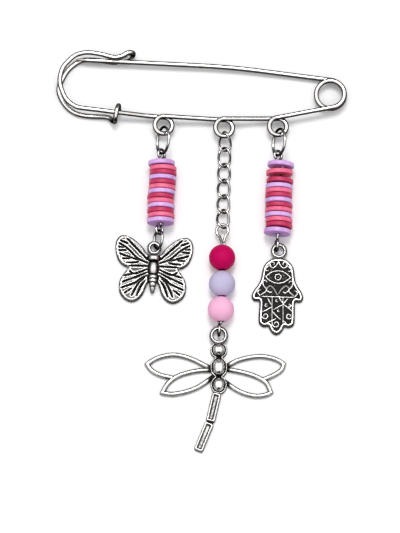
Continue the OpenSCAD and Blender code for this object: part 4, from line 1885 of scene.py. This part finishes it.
@dataclass
class HandCharm:
    """Cast open hand with an eye, scrolls and beaded lines on a blackened ground."""

    at: tuple[float, float] = (17.7, -9.07)
    lean: float = -2.0
    spacing: float = 0.1
    thickness: float = 1.3
    eye: CastEye = CastEye((0, 9.23, 1.38), 1.46)
    # The rounded outer edge: its width, and how far it drops.
    edge_w: float = 0.45
    edge_drop: float = 0.5
    ground: float = 0.98
    # Distances from the outline between which the rim sinks to the ground, and brightens before that.
    ground_from: tuple[float, float] = (0.66, 0.8)
    rim_from: tuple[float, float] = (0.38, 0.52)
    # Patina of the rim's outer side, and what it gains on the rim.
    rim_patina: tuple[float, float] = (0.3, 0.65)
    # The ground is rubbed a little where it is clear of the rim and of the lines.
    ground_patina: float = 0.1
    ground_clear: float = 0.42
    ground_open: tuple[float, float] = (0.8, 1.1)
    # How far the lines keep from the outline, and where their brightness starts and is full.
    line_clear: float = 0.3
    line_shown: tuple[float, float] = (0.2, 0.4)
    # The share of a line's height where it starts to be bright, and where a plain and a beaded one are.
    bright_low: float = 0.15
    bright_plain: float = 0.9
    bright_beaded: float = 0.6
    line_w: float = 0.4
    line_h: float = 0.3
    # The plain line under each row of beads, in shares of the line's width and height.
    under_w: float = 0.9
    under_h: float = 0.75
    # The almond eye: upper half of its line, then y of its middle, and its pupil.
    almond: Table = ((-2.87, 3.15), (-1.6, 4.2), (0, 4.62), (1.6, 4.2), (2.87, 3.15))
    almond_y: float = 3.15
    pupil_r: float = 0.68
    pupil_w: float = 0.34
    pupil_spot: float = 0.42
    # How far a scroll winds in, and the short taper of the closed lines.
    scroll_in: float = 0.62
    closed_taper: float = 0.01
    outline: Table = (
        (0, 7.7), (1.6, 7.45), (2.8, 6.55), (3.45, 5.5), (3.75, 4.15), (4, 2.55), (4.6, 1.2),
        (5.5, -0.15), (5.95, -1.4), (5.6, -2.3), (4.9, -2.55), (4.25, -2.5), (4.1, -3.3), (4.15, -5.2),
        (4.15, -7), (3.9, -8), (2.9, -8.6), (1.9, -8.45), (1.5, -9.15), (0.9, -10), (0, -10.4),
    )
    # Lines on both halves.
    paired: Sequence[Table] = (
        ((0.03, 7.2), (0.05, 6.75), (0.4, 6), (0.85, 5.5), (1.35, 5.32), (1.82, 5.65), (1.97, 6.2),
         (1.7, 6.57), (1.2, 6.6), (0.98, 6.3), (1.15, 6)),
        ((2.0, 5.75), (2.6, 5.45), (2.93, 4.95), (2.7, 4.55), (2.2, 4.65)),
        ((2.5, 1.8), (2.85, 2.25), (3.4, 2.05), (3.28, 1.05), (2.55, -0.05), (3.85, -1.2)),
        ((2.55, -0.05), (2, -0.4), (1.6, -0.57), (1.25, -0.25)),
        ((3.85, 0), (4.4, -0.15), (4.55, -0.65), (4.15, -1.2), (3.9, -1.5)),
    )
    # Lines that differ between the halves.
    single: Sequence[Table] = (
        ((-3.6, -1.55), (3.9, -1.55)),
        ((-2.25, -1.9), (-1.35, -3.45)),
        ((2.4, -1.85), (1.5, -3.1)),
        ((0.2, -1.2), (0.75, -2.3), (1.5, -3.15)),
        ((-3.35, -5.2), (-2.2, -4.6), (-1.2, -3.9)),
        ((-0.9, -4.6), (0, -4.1), (1.1, -3.4)),
        ((-1.05, -5), (-0.05, -6.05), (0.95, -6.9)),
        ((1.5, -3.25), (2.75, -4.2), (3.6, -4.9)),
        ((-2.45, -7.85), (-1.2, -7.25), (-0.15, -6.65)),
        ((1.5, -7.05), (2.35, -7.85)),
    )
    beaded: Sequence[Table] = (
        ((-2.4, 0.5), (-1.95, 1), (-1.5, 0.95), (-0.85, 0.35), (-0.1, -1)),
        ((2.6, 0.5), (2.1, 1.05), (1.6, 1), (0.85, 0.3), (0.25, -0.7)),
        ((-1.2, -1.8), (-1.05, -7.9)),
        ((1.3, -1.8), (1.5, -7.9)),
    )
    # Small scrolls: x, y of the centre, radius, first angle and turn in degrees.
    scrolls: Table = (
        (-2.45, -3.65, 0.42, 60, 300), (2.85, -3.6, 0.42, 120, -300), (-2.65, -6.1, 0.78, -170, 380),
        (2.8, -6, 0.75, -10, -380), (0, -2.5, 0.4, 90, 260), (0.45, -4.85, 0.34, 90, 260),
        (-0.1, -7.95, 0.85, -200, 400),
    )

    def _strokes(self) -> list[Stroke]:
        """Every raised line of the face.

        Returns:
            The strokes.
        """
        width, height = self.line_w, self.line_h
        sides = [spline(row, 5) * [side, 1] for side in (1, -1) for row in self.paired]
        strokes = [Stroke(path, width, height) for path in sides]
        strokes += [Stroke(spline(row, 5), width, height) for row in self.single]
        strokes += [Stroke(spline(row, 6), width, height, Mark.BEADED) for row in self.beaded]
        under = (width * self.under_w, height * self.under_h)
        strokes += [Stroke(spline(row, 6), *under) for row in self.beaded]
        t = np.linspace(0, 1, 28)
        for x, y, radius, first, turn in self.scrolls:
            angle = np.radians(first + turn * t)
            inward = radius * (1 - self.scroll_in * t)
            path = np.column_stack([x + inward * np.cos(angle), y + inward * np.sin(angle)])
            strokes.append(Stroke(path, width, height))
        upper = spline(self.almond, 8)
        lower = upper[1:] * [-1, -1] + [0, 2 * self.almond_y]
        pupil = level_arc((0, self.almond_y), self.pupil_r, 0, 360, 0, 0, 36)[:, :2]
        spot = np.array([[0, self.almond_y], [0.01, self.almond_y]])
        almond = np.vstack([upper, lower])
        closed = ((almond, width, 1), (pupil, self.pupil_w, 1), (spot, self.pupil_spot, 0.5))
        return strokes + [Stroke(path, w, height * h, taper=self.closed_taper) for path, w, h in closed]

    def _face(self, points: np.ndarray, gap: np.ndarray) -> tuple[np.ndarray, np.ndarray]:
        """Height and patina of the hand.

        Args:
            points: flat points.
            gap: their distances from the outline.

        Returns:
            The heights and the patina.
        """
        slope = np.clip(gap / self.edge_w, 0, 1)
        rim = self.thickness - self.edge_drop * (1 - np.sqrt(1 - (1 - slope) ** 2))
        sunk = step_between(gap, *self.ground_from)
        height = rim * (1 - sunk) + self.ground * sunk
        side, gain = self.rim_patina
        patina = (side + gain * step_between(gap, *self.rim_from)) * (1 - sunk)
        raised = np.zeros(len(points))
        bright = np.zeros(len(points))
        near = np.zeros(len(points))
        for stroke in self._strokes():
            share = stroke.share(points)
            raised = np.maximum(raised, stroke.height * share)
            full = self.bright_beaded if stroke.mark is Mark.BEADED else self.bright_plain
            bright = np.maximum(bright, step_between(share, self.bright_low, full))
            near = np.maximum(near, stroke.crest(points, 0, self.ground_clear))
        patina = patina + self.ground_patina * sunk * (1 - near) * step_between(gap, *self.ground_open)
        height = np.where(gap > self.line_clear, np.maximum(height, self.ground + raised), height)
        return height, np.maximum(patina, bright * step_between(gap, *self.line_shown))

    def build(self, material: bpy.types.Material) -> None:
        """Casts the hand.

        Args:
            material: its antiqued finish.
        """
        plate = CastPlate(mirrored(spline(self.outline, 8)), self.spacing).shell(self._face)
        whole = joined([plate, self.eye.shell()]).placed(turning(0, 0, self.lean), (*self.at, 0))
        deliver(piece_of_shell("hand_cast", whole, material), Body.CLIP, Slot.ANTIQUE, "charm_hand")


@dataclass
class DragonflyCharm:
    """Cast dragonfly: open wings of round bars, three balls in a cup and a jointed tail."""

    bender: WireBender
    axis_x: float = 4.18
    eye: CastEye = CastEye((4.18, -19.8, 1.55), 1.72, 0.46)
    bar_r: float = 0.55
    bar_sides: int = 20
    bar_spacing: float = 0.25
    # Balls of the body: y of the centre, half width and half length.
    balls: Table = ((-23.1, 1.45, 1.45), (-27.15, 1.5, 2.0), (-31.3, 1.38, 1.65))
    ball_z: float = 1.15
    ball_foot: float = 0.3
    # Heights between which a ball goes over into bright and into rubbed metal.
    ball_bright: tuple[float, float] = (1.0, 1.8)
    ball_rubbed: tuple[float, float] = (1.9, 2.35)
    # The cup round the balls: how far it stands out, its lip's width and height, and its floor.
    cup_w: float = 0.5
    cup_lip: float = 0.425
    cup_z: float = 1.15
    cup_floor: float = 0.55
    cup_ends: tuple[float, float] = (-21.1, -33.4)
    # The cup is left out where it would be narrower than this.
    cup_least: float = 0.25
    tail_w: float = 2.15
    tail_corner: float = 0.5
    tail_lip: float = 0.66
    tail_floor: float = 0.75
    tail_rise: float = 0.55
    # Patina of a lip's sides, and what it gains on its crown.
    lip_patina: tuple[float, float] = (0.35, 0.65)
    # Distances from the tail's outline between which its channel begins, and gets rubbed.
    channel_from: tuple[float, float] = (0.6, 0.75)
    channel_rubbed: tuple[float, float] = (0.75, 0.9)
    channel_dark: float = 0.2
    channel_shine: float = 0.3
    # How far from the middle the bars come out of the dark, and the heights where they turn bright.
    bar_from: tuple[float, float] = (2.0, 3.2)
    bar_bright: tuple[float, float] = (0.6, 0.98)
    # Patina of the bars' lower side, and what it gains on top.
    bar_patina: tuple[float, float] = (0.3, 0.7)
    joint_z: float = 0.7
    tails: Sequence[Table] = (((3.75, -33.2), (2.2, -39.95)), ((2.1, -40.2), (-0.6, -46.8)))
    joint: Table = ((1.4, -40.4), (2.85, -40.4), (2.85, -39.75), (1.4, -39.75))
    wings: Sequence[Table] = (
        ((3.2, -27.6), (1.2, -26.75), (-1.3, -25.45), (-3.75, -24.55), (-6.25, -24.15),
         (-8.75, -24.5), (-10.9, -25.35), (-12.55, -26.6)),
        ((-12.4, -26.2), (-11.25, -27.75), (-9.25, -28.9), (-6.4, -29.55)),
        ((3.2, -27.75), (0.2, -27.8), (-2.3, -28.2), (-4.5, -28.85), (-6.25, -29.75),
         (-7.75, -31.2), (-8.95, -33.4)),
        ((-9.2, -33), (-6.75, -33.4), (-4.25, -33.05), (-1.8, -32.3), (0.2, -31.25), (3.2, -29.1)),
        ((5.2, -27.3), (6.95, -26.25), (8.7, -25.4), (11.2, -24.75), (13.7, -24.5), (16.2, -24.85),
         (18.2, -25.65), (19.35, -26.6)),
        ((19.05, -26.1), (18.6, -27.6), (16.9, -28.85), (14.3, -30)),
        ((5.2, -27.4), (8.7, -28.05), (11.2, -28.7), (13.45, -29.6), (15.2, -30.9), (16.25, -33.3)),
        ((16.4, -32.7), (15.2, -33.5), (12.95, -33.85), (10.7, -33.45), (8.2, -32.35), (5.2, -30.2)),
    )

    def _cup(self) -> Shell:
        """The three-lobed cup that holds the balls.

        Returns:
            The closed cup.
        """
        y = np.linspace(*self.cup_ends, 240)
        half = np.zeros(len(y))
        for centre, wide, long in self.balls:
            inner = np.clip(1 - ((y - centre) / (long + self.cup_w)) ** 2, 0, 1)
            half = np.maximum(half, (wide + self.cup_w) * np.sqrt(inner))
        keep = half > self.cup_least
        right = np.column_stack([half[keep], y[keep]])
        outline = np.vstack([right, right[::-1] * [-1, 1]])

        def sculpt(points: np.ndarray, gap: np.ndarray) -> tuple[np.ndarray, np.ndarray]:
            """A rounded lip, then a blackened gap beside the balls.

            Args:
                points: flat points; not used.
                gap: their distances from the outline.

            Returns:
                The heights and the patina.
            """
            crown = lip_crown(gap, self.cup_lip)
            side, gain = self.lip_patina
            patina = np.where(gap < self.cup_lip, side + gain * crown, 0.0)
            return self.cup_floor + (self.cup_z - self.cup_floor) * crown, patina

        return CastPlate(outline).shell(sculpt).placed(np.eye(3), (self.axis_x, 0, 0))

    def _ball(self, row: Sequence[float]) -> Shell:
        """One polished ball of the body.

        Args:
            row: y of the centre, half width and half length.

        Returns:
            The closed ball.
        """
        centre, wide, long = row
        angle = np.linspace(0, math.pi, 33)
        profile = np.column_stack([centre + long * np.cos(angle), wide * np.sin(angle)])
        shell = turned_shell(profile).placed(np.eye(3), (self.axis_x, 0, self.ball_z))
        height = shell.points[:, 2] = np.maximum(shell.points[:, 2], self.ball_foot)
        shell.patina = worn_patina(height, self.ball_bright, self.ball_rubbed)
        return shell

    def _tail(self, ends: Table) -> Shell:
        """One segment of the tail: a bright rim round a dull channel.

        Args:
            ends: the two ends of its middle line.

        Returns:
            The closed segment.
        """
        first, last = np.array(ends[0]), np.array(ends[1])
        along = unit(last - first)
        side = np.array([-along[1], along[0]])
        corner = self.tail_corner
        quarter = np.linspace(0, math.pi / 2, 7)
        outline = []
        for end, way in ((first, -1), (last, 1)):
            for turn, sweep in ((-way, quarter), (way, quarter[::-1])):
                middle = end - along * way * corner + side * turn * (self.tail_w / 2 - corner)
                across, ahead = side * turn * corner, along * way * corner
                outline += [middle + across * math.cos(a) + ahead * math.sin(a) for a in sweep]

        def sculpt(points: np.ndarray, gap: np.ndarray) -> tuple[np.ndarray, np.ndarray]:
            """A rounded rim, then a flat channel that is blackened along its sides.

            Args:
                points: flat points; not used.
                gap: their distances from the outline.

            Returns:
                The heights and the patina.
            """
            crown = lip_crown(gap, self.tail_lip)
            channel = step_between(gap, *self.channel_from)
            side, gain = self.lip_patina
            shine = self.channel_shine * step_between(gap, *self.channel_rubbed)
            patina = side + gain * crown - self.channel_dark * channel + shine
            return self.tail_floor + self.tail_rise * crown * (1 - channel), patina

        return CastPlate(np.array(outline)).shell(sculpt)

    def _joint(self) -> Shell:
        """The blackened joint between the tail's segments.

        Returns:
            The closed joint.
        """

        def sculpt(points: np.ndarray, gap: np.ndarray) -> tuple[np.ndarray, np.ndarray]:
            """A flat black face."""
            return np.full(len(points), self.joint_z), np.zeros(len(gap))

        return CastPlate(np.array(self.joint)).shell(sculpt)

    def _bars(self, material: bpy.types.Material) -> bpy.types.Object:
        """Bends the bars of the wings and joins them in one piece.

        Args:
            material: its antiqued finish.

        Returns:
            The piece, darker where the bars meet the body.
        """
        points, faces = [], []
        for i, row in enumerate(self.wings):
            flat = spline(row, 8)
            path = np.column_stack([flat, np.full(len(flat), self.bar_r)])
            mesh_size = (self.bar_sides, self.bar_spacing)
            bar = self.bender.bend(f"wing_bar_{i + 1}", path, self.bar_r, material, *mesh_size)
            start = len(points)
            points += [tuple(v.co) for v in bar.data.vertices]
            faces += [tuple(v + start for v in p.vertices) for p in bar.data.polygons]
            bpy.data.objects.remove(bar)
        places = np.array(points) / MM - CENTRE_SHIFT
        root = step_between(np.abs(places[:, 0] - self.axis_x), *self.bar_from)
        side, gain = self.bar_patina
        patina = (side + gain * step_between(places[:, 2], *self.bar_bright)) * root
        return piece_of_shell("dragonfly_wings", Shell(places, faces, patina), material)

    def build(self, material: bpy.types.Material) -> None:
        """Casts the dragonfly.

        Args:
            material: its antiqued finish.
        """
        balls = [self._ball(row) for row in self.balls]
        tails = [self._tail(ends) for ends in self.tails]
        body = joined([self._cup(), *balls, *tails, self._joint(), self.eye.shell()])
        for piece in (piece_of_shell("dragonfly_body", body, material), self._bars(material)):
            deliver(piece, Body.CLIP, Slot.ANTIQUE, "charm_dragonfly")


@dataclass
class Strands:
    """Rings, eye pins, discs and beads that hang from the three loops."""

    bender: WireBender
    # Each clay: its colour, and a darker one for painted shade between the discs and for random mottling.
    clays: Sequence[tuple[Slot, DiscClay]] = (
        (Slot.DISC_LILAC, DiscClay("lilac_clay", (224, 186, 238), (178, 124, 196))),
        (Slot.DISC_CRIMSON, DiscClay("crimson_clay", (202, 46, 94), (166, 22, 72))),
        (Slot.DISC_CORAL, DiscClay("coral_clay", (238, 122, 156), (214, 62, 106))),
    )
    left: DiscStack = field(
        default_factory=lambda: DiscStack(
            "disc_l",
            (-8.75, 20.45),
            (
                (0, -0.24, 1.3, 0), (2, 0.16, 0, 0.35), (1, 0.19, 0, 0.14), (0, 0.09, -0.4, 0.14),
                (1, 0.12, -0.4, 0.14), (2, 0.07, 0, 0.14), (0, 0, 0, 0.13), (1, -0.19, -0.4, 0.14),
                (2, -0.11, -0.8, 0.14), (0, 0.04, -0.6, 0.13), (1, -0.08, 0, 0.15), (2, 0.07, 0.2, 0.13),
                (0, -0.06, 1.2, 0.19),
            ),
        )
    )
    right: DiscStack = field(
        default_factory=lambda: DiscStack(
            "disc_r",
            (18.28, 20.1),
            (
                (0, 0.2, -3.2, 0), (2, -0.08, 1.8, 0.9), (1, 0.09, -1.7, 1.04), (0, -0.05, 0, 0.37),
                (2, -0.09, 0.3, 0.16), (1, -0.1, 0.3, 0.14), (0, -0.11, 0, 0.14), (1, 0.05, -0.3, 0.15),
                (2, 0, -0.3, 0.16), (0, -0.05, -0.3, 0.2), (2, 0.13, -0.8, 0.2), (1, 0.2, -1.6, 0.2),
                (0, -0.18, -2.2, 0.38),
            ),
        )
    )
    beads: Sequence[RoundBead] = (
        RoundBead(
            "bead_top", (4.95, -1.8), Slot.BEAD_MAGENTA,
            FrostedBead("magenta_bead", (188, 0, 84), (172, 0, 74)),
        ),
        RoundBead(
            "bead_mid", (4.92, -7.95), Slot.BEAD_LAVENDER,
            FrostedBead("lavender_bead", (191, 184, 213), (180, 170, 206)),
        ),
        RoundBead(
            "bead_low", (4.65, -14.02), Slot.BEAD_PINK,
            FrostedBead("pink_bead", (240, 180, 212), (234, 166, 202)),
        ),
    )
    rings: Sequence[JumpRing] = (
        JumpRing("ring_left_top", (-8.65, 26, 3.1), 64, 0, 3.08),
        JumpRing("ring_left_low", (-9.75, 2.7, 2.35), 63, -1, 2.08),
        JumpRing("ring_right_top", (18.05, 25.55, 3.12), 64, 0, 3.08),
    )
    shaft_out: float = 0.1

    def _eye_pins(self) -> list[EyePin]:
        """Lays out the three eye pins, with shafts that come just out of their beads.

        Returns:
            The eye pins.
        """
        disc_out = np.array([0, self.left.disc_t / 2 + self.shaft_out])
        bead_out = np.array([0, self.beads[0].radius + self.shaft_out])
        first, last = (np.array(bead.at) for bead in (self.beads[0], self.beads[-1]))
        stacks = (self.left, self.right)
        left, right = ((stack.place(0), stack.place(len(stack.rows) - 1)) for stack in stacks)
        return [
            EyePin(
                "eyepin_left", (-8.99, 22.9, 2.5), (-9.5, 4.88, 2.75), (-45, -45), (1.05, 1),
                left[0] + disc_out, left[1] - disc_out,
            ),
            EyePin(
                "eyepin_mid", (5, 4.79, 2.25), (4.2, -18.5, 1.66), (-165, 85), (1.4, 1.3),
                first + bead_out, last - bead_out, ((5.32, 1.95, 2.7),),
            ),
            EyePin(
                "eyepin_right", (17.85, 22.5, 2.76), (17.5, 1.5, 1.85), (-40, 80), (1.05, 1.37),
                right[0] + disc_out, right[1] - disc_out,
            ),
        ]

    def build(self, material: bpy.types.Material) -> None:
        """Makes the strands.

        Args:
            material: plating of the rings and eye pins.
        """
        for ring in self.rings:
            ring.build(self.bender, material)
        for pin in self._eye_pins():
            pin.build(self.bender, material)
        press = DiscPress()
        for number, (slot, clay) in enumerate(self.clays):
            finish = clay.material()
            for side, stack in (("left", self.left), ("right", self.right)):
                name = f"discs_{side}_{slot.value.removeprefix('disc_')}"
                piece, nodes = press.press(name, stack, number, finish)
                deliver(piece, Body.CLIP, slot, *nodes)
        for bead in self.beads:
            bead.build()


def main() -> None:
    """Builds the scene in order."""
    logging.basicConfig(level=logging.INFO, format="%(name)s: %(message)s")
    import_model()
    Studio().build()
    bender = WireBender()
    fine_plating = PolishedPlating("fine_plating").material()
    antique = AntiquedSilver("antiqued_silver").material()
    KiltPin(bender).build(PolishedPlating("pin_plating").material())
    Strands(bender).build(fine_plating)
    CurbChain().build(fine_plating)
    ButterflyCharm().build(antique)
    HandCharm().build(antique)
    DragonflyCharm(bender).build(antique)


if __name__ == "__main__":
    main()
